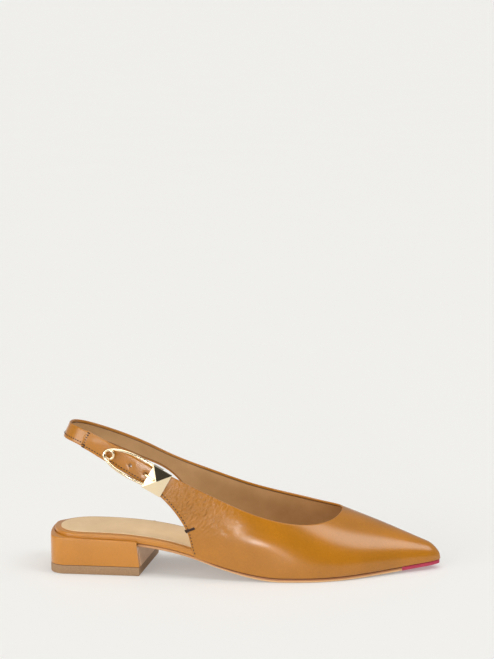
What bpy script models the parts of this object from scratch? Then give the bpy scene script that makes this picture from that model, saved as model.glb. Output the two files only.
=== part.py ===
"""Slingback pump, right shoe, standing on its heel and forefoot.

Metres, +X from heel to toe, +Y to the inner side of the foot, +Z up.
The origin is on the underside of the top lift, in its middle."""

import math

import bpy
import bmesh
import numpy as np

# The last: lengths over all, widths at the ball and heights from the floor
LAST_LENGTH = 0.2626
LAST_BACK = -0.0312
BALL_WIDTH = 0.0750
SEAT_HEIGHT = 0.0213
TOE_SPRING = 0.0034
INSTEP_HEIGHT = 0.0420
THROAT_SHARE = 0.752
TOE_ROUND = 0.0085
TOE_NOSE = 0.0095
SEAT_ROUND = 0.0255
FLAT_FROM_SHARE = 0.595
FLAT_TO_SHARE = 0.700

# The layers under the foot
GAP = 0.0003
WALL = 0.0017
INSOLE_THICKNESS = 0.0042
INSOLE_INSIDE_THICKNESS = 0.0022
INSOLE_INSIDE_INSET = 0.0008
INSOLE_EDGE_ROUND = 0.0009
SOCK_THICKNESS = 0.0008
SOCK_INSET = 0.0042
SOCK_END_SHARE = 0.80
WAIST_SOLE_THICKNESS = 0.0018
BALL_SOLE_THICKNESS = 0.0028
SOLE_EDGE_ROUND = 0.0006
SOLE_UNDER_SEAT = 0.0006
SOLE_UNDER_UPPER = 0.0015
TIP_PIECE_LENGTH = 0.0262

# The heel block and its top lift
HEEL_BACK = -0.0338
HEEL_FRONT = 0.0314
HEEL_OUTER_BACK = 0.0248
HEEL_OUTER_FRONT = 0.0285
HEEL_INNER_BACK = 0.0245
HEEL_INNER_FRONT = 0.0279
HEEL_CORNER = 0.0105
HEEL_BACK_BULGE = 0.0012
BREAST_SKEW = 0.0085
BREAST_LEAN = 0.0018
RIM_AT_BACK = 0.0254
RIM_AT_BREAST = 0.0236
RIM_ROUND = 0.0010
SEAT_CLEARANCE = 0.0004
LIFT_THICKNESS = 0.0060

# The quarters: the lower back corner turns forward, and the topline runs ahead of it
CORNER_FLARE = 0.0010
CORNER_LEAD = 0.0070
OUTER_TAIL = 0.0416
INNER_TAIL = 0.0300
TAIL_LOOK = 0.0060

# The strap round the back of the heel
STRAP_HEIGHT = 0.0955
STRAP_BACK = -0.0215
OUTER_STRAP_SLOPE = 0.572
INNER_STRAP_SLOPE = 0.430
OUTER_STRAP_LEVEL = 0.0140
INNER_STRAP_LEVEL = 0.0010
STRAP_WIDTH = 0.0108
INNER_TAIL_WIDTH = 0.0122
STRAP_END_WIDTH = 0.0138
SEAM_WIDTH = 0.0128
STRAP_TAPER_LENGTH = 0.045
STRAP_THICKNESS = 0.0020
STRAP_END_THICKNESS = 0.0026
STRAP_LEAN_RATIO = 0.46
STRAP_LONG_PULL_SHARE = 0.56
STRAP_ROUND_PULL_SHARE = 0.64
SEAM_FROM_BACK = 0.0233

# The buckle: a pyramid head, a wire frame with a coil, and a prong
HEAD_LENGTH = 0.0143
HEAD_WIDTH = 0.0170
HEAD_HEIGHT = 0.0044
HEAD_EDGE = 0.0010
HEAD_CHEEK = 0.0012
WIRE = 0.0019
COIL_DIAMETER = 0.0081
COIL_FROM_HEAD = 0.0362
UPPER_ARM_OFFSET = 0.0078
LOWER_ARM_OFFSET = 0.0063
ARM_BOW = 0.0012
ARM_LEAVE_DEGREES = 55.0
PRONG = 0.0017
HOLE = 0.0030
HOLE_PITCH = 0.0116
HOLE_FROM_HEAD = 0.0092

# Insole outline: place along the last, then its two edges as shares of the ball's width
PLAN = (
    # station, outer, inner
    (0.000, 0.318, 0.300),
    (0.100, 0.320, 0.305),
    (0.225, 0.345, 0.290),
    (0.357, 0.405, 0.268),
    (0.489, 0.475, 0.335),
    (0.600, 0.508, 0.440),
    (0.677, 0.492, 0.480),
    (0.752, 0.425, 0.455),
    (0.846, 0.275, 0.335),
    (0.921, 0.145, 0.205),
    (0.970, 0.070, 0.115),
    (1.000, 0.035, 0.065),
)

# Underside of the sole from the seat to the ball: shares of the seat's height
WAIST = (
    # station, height
    (0.000, 1.00),
    (0.225, 0.93),
    (0.320, 0.76),
    (0.425, 0.41),
    (0.520, 0.10),
    (FLAT_FROM_SHARE, 0.00),
)

# Top of the last: ridge height as a share of the instep's, and where the ridge lies and how
# each side swells, as shares of the ball's width; fullness is how square the shoulder is
RIDGE = (
    # station, height, ridge_y, outer_swell, outer_full, inner_swell, inner_full
    (0.270, 2.85, 0.040, 0.060, 0.62, 0.100, 0.95),
    (0.370, 2.40, 0.040, 0.055, 0.60, 0.110, 0.95),
    (0.500, 1.80, 0.045, 0.045, 0.58, 0.080, 0.80),
    (0.620, 1.35, 0.050, 0.040, 0.50, 0.050, 0.62),
    (0.743, 1.00, 0.050, 0.040, 0.42, 0.035, 0.50),
    (0.850, 0.748, 0.045, 0.035, 0.42, 0.030, 0.46),
    (0.930, 0.545, 0.035, 0.020, 0.48, 0.020, 0.50),
    (1.000, 0.370, 0.025, 0.010, 0.55, 0.010, 0.55),
)

# Topline: way back from the throat to the tails, then heights as shares of the strap's
TOPLINE = (
    # way, outer, inner
    (0.000, 0.444, 0.444),
    (0.300, 0.396, 0.425),
    (0.500, 0.398, 0.460),
    (0.700, 0.472, 0.545),
    (0.850, 0.595, 0.665),
    (0.950, 0.702, 0.765),
)

# Back edge of each quarter, from the sole up: place along the last and share of strap height
OUTER_BACK_EDGE = (
    # station, height
    (0.372, 0.175),
    (0.360, 0.300),
    (0.338, 0.420),
    (0.306, 0.530),
)
INNER_BACK_EDGE = (
    # station, height
    (0.376, 0.190),
    (0.360, 0.330),
    (0.330, 0.520),
    (0.285, 0.640),
)

# How finely the pieces are divided
FEATHER_STEPS = 15
TAIL_STEPS = 11
VAMP_ROWS = 14
COLUMNS = 12
END_INSET = 0.00015

OUTER, INNER = -1.0, 1.0
STRAP_FALL = {
    OUTER: (OUTER_STRAP_SLOPE, OUTER_STRAP_LEVEL),
    INNER: (INNER_STRAP_SLOPE, INNER_STRAP_LEVEL),
}
TAN = (0.58, 0.27, 0.07)
CREAM_GOLD = (0.83, 0.72, 0.50)


def curve_through(places, values, start_slope=None, end_slope=None):
    """A smooth curve of second order through the points, as a function."""
    places = np.asarray(places, float)
    values = np.asarray(values, float)
    step = np.diff(places)
    rise = np.diff(values) / step
    count = len(places)
    system = np.zeros((count, count))
    target = np.zeros(count)
    for i in range(1, count - 1):
        system[i, i - 1 : i + 2] = step[i], 2 * (step[i] + step[i - 1]), step[i - 1]
        target[i] = 3 * (step[i] * rise[i - 1] + step[i - 1] * rise[i])
    for row, near, slope, first in ((0, 1, start_slope, rise[0]), (-1, -2, end_slope, rise[-1])):
        system[row, row] = 1.0 if slope is not None else 2.0
        system[row, near] = 0.0 if slope is not None else 1.0
        target[row] = slope if slope is not None else 3 * first
    slopes = np.linalg.solve(system, target)

    def at(place):
        place = np.clip(place, places[0], places[-1])
        i = np.clip(np.searchsorted(places, place) - 1, 0, count - 2)
        t = (place - places[i]) / step[i]
        return (
            values[i] * (1 + 2 * t) * (1 - t) ** 2
            + slopes[i] * step[i] * t * (1 - t) ** 2
            + values[i + 1] * t**2 * (3 - 2 * t)
            + slopes[i + 1] * step[i] * t**2 * (t - 1)
        )

    return at


def columns(rows, **ends):
    """One curve for each column of a table, over its first column."""
    table = np.array(rows, float)
    return [curve_through(table[:, 0], table[:, k], **ends) for k in range(1, table.shape[1])]


def round_end(distance, radius, power=2.0):
    """Share of the full size at a distance from a round end."""
    reach = np.clip(np.asarray(distance, float) / radius, 0.0, 1.0)
    return (1.0 - (1.0 - reach) ** power) ** (1.0 / power)


def ease(value, start, end):
    """0 before start, 1 after end, smooth between."""
    t = np.clip((value - start) / (end - start), 0.0, 1.0)
    return t * t * (3.0 - 2.0 * t)


def spread_ends(start, end, count):
    """Places between two ends, closer together near both."""
    return start + (end - start) * 0.5 * (1.0 - np.cos(np.linspace(0.0, math.pi, count)))


def station_of(x):
    return (x - LAST_BACK) / LAST_LENGTH


def place_of(station):
    return LAST_BACK + station * LAST_LENGTH


plan_outer, plan_inner = columns(PLAN)
(waist_height,) = columns(WAIST, end_slope=0.0)
ridge_height, ridge_side, outer_swell, outer_full, inner_swell, inner_full = columns(RIDGE)
topline_outer, topline_inner = columns(TOPLINE, start_slope=0.0)


class Outline:
    """Both edges of a flat piece seen from above, from its back to its tip."""

    def __init__(self, x, outer, inner):
        self.sides = {OUTER: (x, outer), INNER: (x, inner)}

    @classmethod
    def of_last(cls):
        x = spread_ends(LAST_BACK, LAST_BACK + LAST_LENGTH, 241)
        station = station_of(x)
        seat = round_end(x - LAST_BACK, SEAT_ROUND, 2.1)
        tip = round_end(LAST_BACK + LAST_LENGTH - x, TOE_ROUND)
        close = seat * tip
        middle = 0.5 * BALL_WIDTH * (plan_inner(station) - plan_outer(station))
        half = 0.5 * BALL_WIDTH * (plan_inner(station) + plan_outer(station))
        return cls(x, middle - half * close, middle + half * close)

    def grown(self, margin):
        """The outline moved out by a margin, a number or a function of x."""
        grown = Outline(None, None, None)
        for side, (x, y) in self.sides.items():
            dx, dy = np.gradient(x), np.gradient(y)
            dx[0], dx[-1] = 0.0, 0.0
            size = np.hypot(dx, dy)
            out = margin(x) if callable(margin) else margin
            grown.sides[side] = (x - side * out * dy / size, y + side * out * dx / size)
        return grown

    def ends(self):
        x = self.sides[OUTER][0]
        return x[0], x[-1]

    def edge(self, side, x):
        places, y = self.sides[side]
        return np.interp(x, places, y)


LAST = Outline.of_last()


def sole_underside(x):
    """Height of the outsole's underside: seat, waist, flat tread, then toe spring."""
    station = station_of(x)
    spring = np.clip((station - FLAT_TO_SHARE) / (1.0 - FLAT_TO_SHARE), 0.0, None) ** 1.8
    return np.where(station < FLAT_FROM_SHARE, SEAT_HEIGHT * waist_height(station), TOE_SPRING * spring)


def sole_thickness(x):
    thicker = ease(station_of(x), 0.42, 0.56)
    return WAIST_SOLE_THICKNESS + (BALL_SOLE_THICKNESS - WAIST_SOLE_THICKNESS) * thicker


def sole_top(x):
    return sole_underside(x) + sole_thickness(x)


def insole_thickness(x):
    thinner = ease(station_of(x), 0.38, 0.52)
    return INSOLE_THICKNESS + (INSOLE_INSIDE_THICKNESS - INSOLE_THICKNESS) * thinner


def insole_top(x):
    return sole_top(x) + GAP + insole_thickness(x)


FEATHER = LAST.grown(GAP + WALL)
TOE_TIP = FEATHER.ends()[1]
THROAT = place_of(THROAT_SHARE)


def ridge(x):
    """The highest point of the upper's section at x: its y and its z."""
    station = station_of(x)
    foot = sole_top(x) + GAP
    nose = round_end(TOE_TIP - x, TOE_NOSE, 2.2)
    tip_y = 0.5 * (FEATHER.edge(OUTER, TOE_TIP) + FEATHER.edge(INNER, TOE_TIP))
    y = tip_y + (BALL_WIDTH * ridge_side(station) - tip_y) * nose
    return y, foot + (INSTEP_HEIGHT * ridge_height(station) - foot) * nose


def section(x, way, side):
    """Point of the upper's outer face at x, on the way from the feather edge up to the ridge."""
    station = station_of(x)
    swell, full = (outer_swell, outer_full) if side == OUTER else (inner_swell, inner_full)
    nose = round_end(TOE_TIP - x, TOE_NOSE, 2.2)
    foot_y, foot_z = FEATHER.edge(side, x), sole_top(x) + GAP
    top_y, top_z = ridge(x)
    wall_y = foot_y + side * BALL_WIDTH * swell(station) * nose
    wall_z = foot_z + 0.50 * (top_z - foot_z)
    shoulder_y = top_y + (foot_y - top_y) * full(station) * 1.35
    a, b, c, d = (1 - way) ** 3, 3 * way * (1 - way) ** 2, 3 * way**2 * (1 - way), way**3
    y = a * foot_y + b * wall_y + c * shoulder_y + d * top_y
    z = a * foot_z + b * wall_z + (c + d) * top_z
    return np.stack([x + 0.0 * way, y, z], -1)


def way_at_height(x, height, side):
    """How far up the section at x reaches the height."""
    ways = np.linspace(0.0, 1.0, 101)
    heights = section(np.full_like(ways, x), ways, side)[:, 2]
    return float(np.interp(height, heights, ways))


def strap_line(x, side):
    """Height of the strap's middle line at x."""
    slope, level = STRAP_FALL[side]
    return STRAP_HEIGHT - slope * (math.hypot(x - STRAP_BACK, level) - level)


def strap_tilt(x, side):
    """The strap's own width direction at x, where it runs along the side."""
    steepest, level = STRAP_FALL[side]
    slope = steepest * (x - STRAP_BACK) / math.hypot(x - STRAP_BACK, level)
    return np.array([slope, 0.0, 1.0]) / math.hypot(slope, 1.0)


def tail_corner(side, up):
    """Place and height of a corner of a quarter's tail, where the strap takes over."""
    x, width = (OUTER_TAIL, STRAP_END_WIDTH) if side == OUTER else (INNER_TAIL, INNER_TAIL_WIDTH)
    reach = up * 0.5 * width * strap_tilt(x, side)
    return x + reach[0], strap_line(x, side) + reach[2]


def quarter_columns(side):
    """Columns of a quarter from the throat to its tail: each has its lower and its top end.

    An end is a place x and a way up the section there. The lower ends follow the feather edge
    to the back corner and then climb the back edge.
    """
    top_x, top_z = tail_corner(side, 1.0)
    low_x, low_z = tail_corner(side, -1.0)
    topline = topline_outer if side == OUTER else topline_inner
    edge_rows = OUTER_BACK_EDGE if side == OUTER else INNER_BACK_EDGE
    way = [row[0] for row in TOPLINE] + [1.0]
    height = [float(ridge(THROAT)[1])] + [STRAP_HEIGHT * float(topline(w)) for w in way[1:-1]]
    top_height = curve_through(way, height + [top_z], start_slope=0.0)
    corner_x = place_of(edge_rows[0][0]) + CORNER_FLARE
    edge_x = [corner_x] + [place_of(row[0]) for row in edge_rows] + [low_x]
    feather_z = float(sole_top(corner_x)) + GAP
    edge_z = [feather_z] + [STRAP_HEIGHT * row[1] for row in edge_rows] + [low_z]
    travel = np.concatenate([[0.0], np.cumsum(np.hypot(np.diff(edge_x), np.diff(edge_z)))])
    along_x, along_z = curve_through(travel, edge_x), curve_through(travel, edge_z)
    turn = math.sqrt((THROAT - corner_x - CORNER_LEAD) / (THROAT - top_x))
    forward_steps = np.linspace(0.0, turn, FEATHER_STEPS + 1)[1:]
    steps = np.concatenate([forward_steps, np.linspace(turn, 1.0, TAIL_STEPS + 1)[1:]])
    result = []
    for step in steps:
        x_top = THROAT - (THROAT - top_x) * step**2
        way_top = way_at_height(x_top, float(top_height(step)), side)
        if step <= turn:
            x_low = THROAT - (THROAT - corner_x) * (step / turn) ** 2
            way_low = 0.0
        else:
            along = travel[-1] * (step - turn) / (1.0 - turn)
            x_low = float(along_x(along))
            way_low = way_at_height(x_low, float(along_z(along)), side)
        result.append((x_low, way_low, x_top, way_top))
    return result


def surface(name, colour, roughness, metallic=0.0):
    material = bpy.data.materials.new(name)
    material.use_nodes = True
    shader = material.node_tree.nodes["Principled BSDF"]
    shader.inputs["Base Color"].default_value = (*colour, 1.0)
    shader.inputs["Roughness"].default_value = roughness
    shader.inputs["Metallic"].default_value = metallic
    material.diffuse_color = (*colour, 1.0)
    return material


def add_object(name, mesh, material, sharp=40.0):
    bm = bmesh.new()
    bm.from_mesh(mesh)
    bmesh.ops.recalc_face_normals(bm, faces=bm.faces)
    bm.to_mesh(mesh)
    bm.free()
    mesh.materials.append(material)
    mesh.shade_smooth()
    mesh.set_sharp_from_angle(angle=math.radians(sharp))
    thing = bpy.data.objects.new(name, mesh)
    bpy.context.collection.objects.link(thing)
    return thing


def cut_away(thing, mesh):
    """Subtract a closed mesh from an object."""
    cutter = add_object(mesh.name, mesh, thing.data.materials[0])
    cutter.hide_render = True
    cutter.hide_viewport = True
    cutter.display_type = "WIRE"
    cut = thing.modifiers.new(mesh.name, "BOOLEAN")
    cut.solver = "EXACT"
    cut.object = cutter


def mesh_of(name, points, faces):
    mesh = bpy.data.meshes.new(name)
    mesh.from_pydata([tuple(map(float, point)) for point in points], [], faces)
    return mesh


def loft(name, rings):
    """A closed skin over rings of equal count, with a flat cap on the first and the last."""
    count = len(rings[0])
    points = [point for ring in rings for point in ring]
    faces = []
    for i in range(len(rings) - 1):
        for j in range(count):
            k = (j + 1) % count
            faces.append((i * count + j, i * count + k, (i + 1) * count + k, (i + 1) * count + j))
    faces.append(tuple(range(count)))
    faces.append(tuple(range((len(rings) - 1) * count, len(rings) * count)))
    return mesh_of(name, points, faces)


def flat_layer(name, outline, underside, thickness, edge_round, start, end, count):
    """A sole-like layer: the same rounded section at places along the outline."""
    rings = []
    for x in spread_ends(start, end, count):
        outer, inner = float(outline.edge(OUTER, x)), float(outline.edge(INNER, x))
        low, thick = float(underside(x)), float(thickness(x))
        curl = min(edge_round, 0.4 * (inner - outer), 0.4 * thick)
        rings.append([
            (x, outer + curl, low),
            (x, inner - curl, low),
            (x, inner, low + curl),
            (x, inner, low + thick - curl),
            (x, inner - curl, low + thick),
            (x, outer + curl, low + thick),
            (x, outer, low + thick - curl),
            (x, outer, low + curl),
        ])
    return loft(name, rings)


def build_outsole(leather, raspberry):
    """The outsole with its straight cut at the toe, and the coloured tip piece before it."""

    def margin(x):
        out = ease(station_of(x), 0.36, 0.44)
        return -SOLE_UNDER_SEAT + (SOLE_UNDER_SEAT + SOLE_UNDER_UPPER) * out

    outline = LAST.grown(margin)
    back, tip = outline.ends()
    cut = tip - TIP_PIECE_LENGTH
    sole = flat_layer("outsole", outline, sole_underside, sole_thickness, SOLE_EDGE_ROUND,
                      back + END_INSET, cut - 0.5 * GAP, 44)
    piece = flat_layer("toe_tip", outline, sole_underside, sole_thickness, SOLE_EDGE_ROUND,
                       cut + 0.5 * GAP, tip - END_INSET, 16)
    add_object("outsole", sole, leather)
    add_object("toe_tip", piece, raspberry)


def build_insole(leather, lining):
    """The wrapped insole board, narrower where the upper closes round it, and its sock."""

    def margin(x):
        return -INSOLE_INSIDE_INSET * ease(station_of(x), 0.36, 0.48)

    board = LAST.grown(margin)
    back, tip = board.ends()
    base = lambda x: sole_top(x) + GAP
    mesh = flat_layer("insole", board, base, insole_thickness, INSOLE_EDGE_ROUND,
                      back + END_INSET, tip - END_INSET, 46)
    add_object("insole", mesh, leather)
    cover = board.grown(-SOCK_INSET)
    cover_back, _ = cover.ends()
    top = lambda x: insole_top(x) + GAP
    thick = lambda x: SOCK_THICKNESS
    mesh = flat_layer("sock", cover, top, thick, 0.4 * SOCK_THICKNESS,
                      cover_back + END_INSET, place_of(SOCK_END_SHARE), 36)
    add_object("sock", mesh, lining)


def heel_plan(lean):
    """The heel's outline from above: a squared block with round back corners."""
    front = HEEL_FRONT + lean
    corners = {
        OUTER: (HEEL_OUTER_BACK, HEEL_OUTER_FRONT, front - 0.5 * BREAST_SKEW),
        INNER: (HEEL_INNER_BACK, HEEL_INNER_FRONT, front + 0.5 * BREAST_SKEW),
    }
    points = []
    for side, turns in ((OUTER, np.linspace(0.0, 90.0, 9)), (INNER, np.linspace(90.0, 0.0, 9))):
        back_y, front_y, front_x = corners[side]
        centre_x = HEEL_BACK + HEEL_BACK_BULGE + HEEL_CORNER
        centre_y = side * (back_y - HEEL_CORNER)
        arc = [
            (centre_x - HEEL_CORNER * math.sin(math.radians(a)),
             centre_y + side * HEEL_CORNER * math.cos(math.radians(a)))
            for a in turns
        ]
        if side == OUTER:
            points += [(front_x, side * front_y)] + arc
            inner_start = HEEL_INNER_BACK - HEEL_CORNER
            outer_start = HEEL_OUTER_BACK - HEEL_CORNER
            for share in np.linspace(0.0, 1.0, 9)[1:-1]:
                y = -outer_start + (outer_start + inner_start) * share
                points.append((HEEL_BACK + HEEL_BACK_BULGE * (2.0 * share - 1.0) ** 2, y))
        else:
            points += arc + [(front_x, side * front_y)]
    return points


def rim_height(x):
    share = np.clip((x - HEEL_BACK) / (HEEL_FRONT - HEEL_BACK), 0.0, 1.0)
    return RIM_AT_BACK + (RIM_AT_BREAST - RIM_AT_BACK) * share


def heel_rings():
    """Rings of the heel block from the lift up to its rounded rim."""
    middle = np.array([0.5 * (HEEL_BACK + HEEL_FRONT), 0.0])
    base = LIFT_THICKNESS + GAP
    rings = []
    for share, inset in ((0.0, 0.0), (1.0, 0.0), (1.0, 0.35), (1.0, 1.0)):
        ring = []
        for x, y in heel_plan(BREAST_LEAN * (1.0 - share)):
            away = np.array([x, y]) - middle
            pull = RIM_ROUND * inset * (2.0 - inset) * away / np.hypot(*away)
            top = rim_height(x) - RIM_ROUND * (1.0 - inset) ** 2 if share else base
            ring.append((x - pull[0], y - pull[1], top))
        rings.append(ring)
    return rings


def build_heel(leather, rubber):
    """The block, cut to hold the sole's edge in its rim, and the top lift under it."""
    block = add_object("heel_block", loft("heel_block", heel_rings()), leather)
    hold = LAST.grown(SEAT_CLEARANCE)
    back, _ = hold.ends()
    under = lambda x: sole_underside(x) - GAP
    deep = lambda x: RIM_AT_BACK
    start, end = back + 0.5 * END_INSET, 2.0 * HEEL_FRONT
    seat = flat_layer("seat_cutter", hold, under, deep, 0.5 * GAP, start, end, 40)
    cut_away(block, seat)
    plan = heel_plan(BREAST_LEAN)
    lift = loft("top_lift", [[(x, y, z) for x, y in plan] for z in (0.0, LIFT_THICKNESS)])
    add_object("top_lift", lift, rubber)


def upper_surface():
    """Points and faces of the upper's outer face: vamp rows, then the two quarters."""
    points, faces = [], []
    rows = THROAT + (TOE_TIP - THROAT) * np.sin(np.linspace(0.0, 0.5 * math.pi, VAMP_ROWS + 1))
    rows = rows[::-1]
    ways = [(OUTER, k / COLUMNS) for k in range(COLUMNS + 1)]
    ways += [(INNER, 1.0 - k / COLUMNS) for k in range(1, COLUMNS + 1)]
    points.append(section(TOE_TIP, 0.0, OUTER))
    across = len(ways)
    for x in rows[1:]:
        points += [section(x, way, side) for side, way in ways]
    for k in range(across - 1):
        faces.append((0, 1 + k, 2 + k))
    for i in range(len(rows) - 2):
        for k in range(across - 1):
            a = 1 + i * across + k
            faces.append((a, a + across, a + across + 1, a + 1))
    last = 1 + (len(rows) - 2) * across
    joins = {OUTER: [last + k for k in range(COLUMNS + 1)],
             INNER: [last + across - 1 - k for k in range(COLUMNS + 1)]}
    for side, column in joins.items():
        for x_low, way_low, x_top, way_top in quarter_columns(side):
            start = len(points)
            for k in range(COLUMNS + 1):
                share = k / COLUMNS
                x = x_low + (x_top - x_low) * share
                points.append(section(x, way_low + (way_top - way_low) * share, side))
            new = [start + k for k in range(COLUMNS + 1)]
            for k in range(COLUMNS):
                faces.append((column[k], new[k], new[k + 1], column[k + 1]))
            column = new
    return points, faces


def thicken(name, points, faces, wall, level):
    """A closed shell: the surface, the same moved in by the wall, and the rims between them."""
    bm = bmesh.new()
    outside = [bm.verts.new(point) for point in points]
    for face in faces:
        bm.faces.new([outside[i] for i in face])
    bmesh.ops.recalc_face_normals(bm, faces=bm.faces)
    bm.normal_update()
    middle = sum((vert.co for vert in outside), outside[0].co * 0.0) / len(outside)
    facing = sum((face.normal.dot(face.calc_center_median() - middle) for face in bm.faces))
    turn = 1.0 if facing > 0 else -1.0
    rims = [edge for edge in bm.edges if edge.is_boundary]
    inside = {}
    for vert in outside:
        normal = vert.normal * turn
        if level(vert.co):
            normal.z = 0.0
            normal.normalize()
        inside[vert] = bm.verts.new(vert.co - normal * wall)
    for face in list(bm.faces):
        bm.faces.new([inside[vert] for vert in reversed(face.verts)])
    for edge in rims:
        a, b = edge.verts
        bm.faces.new((a, b, inside[b], inside[a]))
    bmesh.ops.recalc_face_normals(bm, faces=bm.faces)
    mesh = bpy.data.meshes.new(name)
    bm.to_mesh(mesh)
    bm.free()
    return mesh


def build_upper(leather):
    points, faces = upper_surface()
    on_feather = lambda point: point.z < float(sole_top(point.x)) + GAP + 0.0002
    mesh = thicken("upper", [tuple(map(float, point)) for point in points], faces, WALL, on_feather)
    add_object("upper", mesh, leather, sharp=60.0)


def tail_of(side):
    """Middle of a quarter's tail, its width direction and how it runs aside with x."""
    low, high = tail_corner(side, -1.0), tail_corner(side, 1.0)
    ends = [section(x, way_at_height(x, z, side), side) for x, z in (low, high)]
    middle, width = 0.5 * (ends[0] + ends[1]), ends[1] - ends[0]
    ahead_x = middle[0] + TAIL_LOOK
    ahead = section(ahead_x, way_at_height(ahead_x, middle[2], side), side)
    aside = (ahead[1] - middle[1]) / TAIL_LOOK
    return middle - np.array([0.0, side * 0.5 * WALL, 0.0]), width / np.linalg.norm(width), aside


class Strap:
    """The strap's middle surface, from the outer tail round the heel to the inner tail."""

    def __init__(self):
        halves = {side: self.half(side) for side in (OUTER, INNER)}
        joined = [np.vstack([halves[OUTER][k], halves[INNER][k][-2::-1]]) for k in (0, 1)]
        self.points, self.widths = joined
        steps = np.linalg.norm(np.diff(self.points, axis=0), axis=1)
        self.travel = np.concatenate([[0.0], np.cumsum(steps)])
        self.length = self.travel[-1]
        self.back = self.travel[len(halves[OUTER][0]) - 1]

    @staticmethod
    def half(side):
        """Points and width directions from a tail to the middle of the back."""
        middle, width, aside = tail_of(side)
        long = middle[0] - STRAP_BACK
        start = np.array(middle[:2])
        lean_in = start - long * STRAP_LONG_PULL_SHARE * np.array([1.0, aside])
        end = np.array([STRAP_BACK, 0.0])
        round_off = end + np.array([0.0, middle[1] * STRAP_ROUND_PULL_SHARE])
        points, widths = [], []
        for t in np.linspace(0.0, 1.0, 181):
            a, b, c, d = (1 - t) ** 3, 3 * t * (1 - t) ** 2, 3 * t**2 * (1 - t), t**3
            x, y = a * start + b * lean_in + c * round_off + d * end
            points.append((x, y, strap_line(x, side)))
            worn_in = ease(t, 0.0, 0.45)
            widths.append((1.0 - worn_in) * width + worn_in * np.array([STRAP_LEAN_RATIO, 0.0, 1.0]))
        return np.array(points), np.array(widths)

    def frame(self, along):
        """The middle point, and the directions along, across (up) and outward."""
        pick = lambda table, s: np.array([np.interp(s, self.travel, table[:, k]) for k in range(3)])
        inside = min(max(along, 0.0), self.length)
        point = pick(self.points, inside)
        ahead = min(inside + 0.0004, self.length)
        behind = max(inside - 0.0004, 0.0)
        forward = pick(self.points, ahead) - pick(self.points, behind)
        forward /= np.linalg.norm(forward)
        across = pick(self.widths, inside)
        across -= forward * across.dot(forward)
        across /= np.linalg.norm(across)
        outward = np.cross(across, forward)
        return point + forward * (along - inside), forward, across, outward

    def point(self, along, up=0.0, out=0.0):
        middle, _, across, outward = self.frame(along)
        return middle + across * up + outward * out


STRAP = Strap()
SEAM = STRAP.back - SEAM_FROM_BACK


def strap_half_width(along):
    """Half of the width: the end piece narrows to the seam, the sling widens to the inner tail."""
    if along < SEAM:
        return 0.5 * (STRAP_END_WIDTH + (SEAM_WIDTH - STRAP_END_WIDTH) * along / SEAM)
    wider = 1.0 - float(ease(STRAP.length - along, 0.0, STRAP_TAPER_LENGTH))
    return 0.5 * (STRAP_WIDTH + (INNER_TAIL_WIDTH - STRAP_WIDTH) * wider)


def build_band(name, start, end, thickness, count, material):
    """A length of strap with softly rounded edges."""
    rings = []
    for along in np.linspace(start, end, count):
        half = strap_half_width(along)
        curl = 0.3 * thickness
        profile = [
            (-half, -0.5 * thickness + curl), (-half + curl, -0.5 * thickness),
            (half - curl, -0.5 * thickness), (half, -0.5 * thickness + curl),
            (half, 0.5 * thickness - curl), (half - curl, 0.5 * thickness),
            (-half + curl, 0.5 * thickness), (-half, 0.5 * thickness - curl),
        ]
        rings.append([STRAP.point(along, up, out) for up, out in profile])
    return add_object(name, loft(name, rings), material)


def round_hole(strap, along, thickness):
    """A punched hole through the strap."""
    rings = []
    for out in (-2.0 * thickness, 2.0 * thickness):
        middle, forward, across, outward = STRAP.frame(along)
        ring = []
        for k in range(14):
            turn = 2.0 * math.pi * k / 14
            around = forward * math.cos(turn) + across * math.sin(turn)
            ring.append(middle + outward * out + 0.5 * HOLE * around)
        rings.append(ring)
    cut_away(strap, loft("hole_cutter", rings))


def build_straps(leather):
    """The sling from the inner quarter round the back to the seam, and the end piece with holes."""
    build_band("sling_strap", SEAM + 0.5 * GAP, STRAP.length - GAP, STRAP_THICKNESS, 44, leather)
    end = build_band("strap_end", GAP, SEAM - 0.5 * GAP, STRAP_END_THICKNESS, 30, leather)
    for k in range(2):
        round_hole(end, HOLE_FROM_HEAD + k * HOLE_PITCH, STRAP_END_THICKNESS)


def tube(name, path, radius, sides):
    """A round wire along the path, with flat ends."""
    path = np.array(path)
    rings = []
    tangents = np.gradient(path, axis=0)
    tangents /= np.linalg.norm(tangents, axis=1)[:, None]
    normal = np.cross(tangents[0], [0.3, 1.0, 0.2])
    for point, tangent in zip(path, tangents):
        normal = normal - tangent * normal.dot(tangent)
        normal /= np.linalg.norm(normal)
        other = np.cross(tangent, normal)
        turns = [2.0 * math.pi * k / sides for k in range(sides)]
        rings.append([point + radius * (normal * math.cos(a) + other * math.sin(a)) for a in turns])
    return loft(name, rings)


def wire_level():
    """Distance of the wire's middle from the strap's middle surface."""
    return 0.5 * STRAP_END_THICKNESS + GAP + 0.5 * WIRE


def arm_path(offset, count):
    """An arm: places along the strap and away from its middle, from the head to the coil."""
    coil = 0.5 * (COIL_DIAMETER - WIRE)
    leave = math.radians(ARM_LEAVE_DEGREES)
    near = np.array([0.5 * HEAD_LENGTH + GAP, offset])
    touch = np.array([COIL_FROM_HEAD + coil * math.cos(leave), coil * math.sin(leave)])
    reach = touch[0] - near[0]
    bowed = near + np.array([0.33 * reach, ARM_BOW])
    drawn = touch + 0.31 * reach * np.array([-math.sin(leave), math.cos(leave)])
    path = []
    for t in np.linspace(0.0, 1.0, count):
        a, b, c, d = (1 - t) ** 3, 3 * t * (1 - t) ** 2, 3 * t**2 * (1 - t), t**3
        path.append(a * near + b * bowed + c * drawn + d * touch)
    return path


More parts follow.
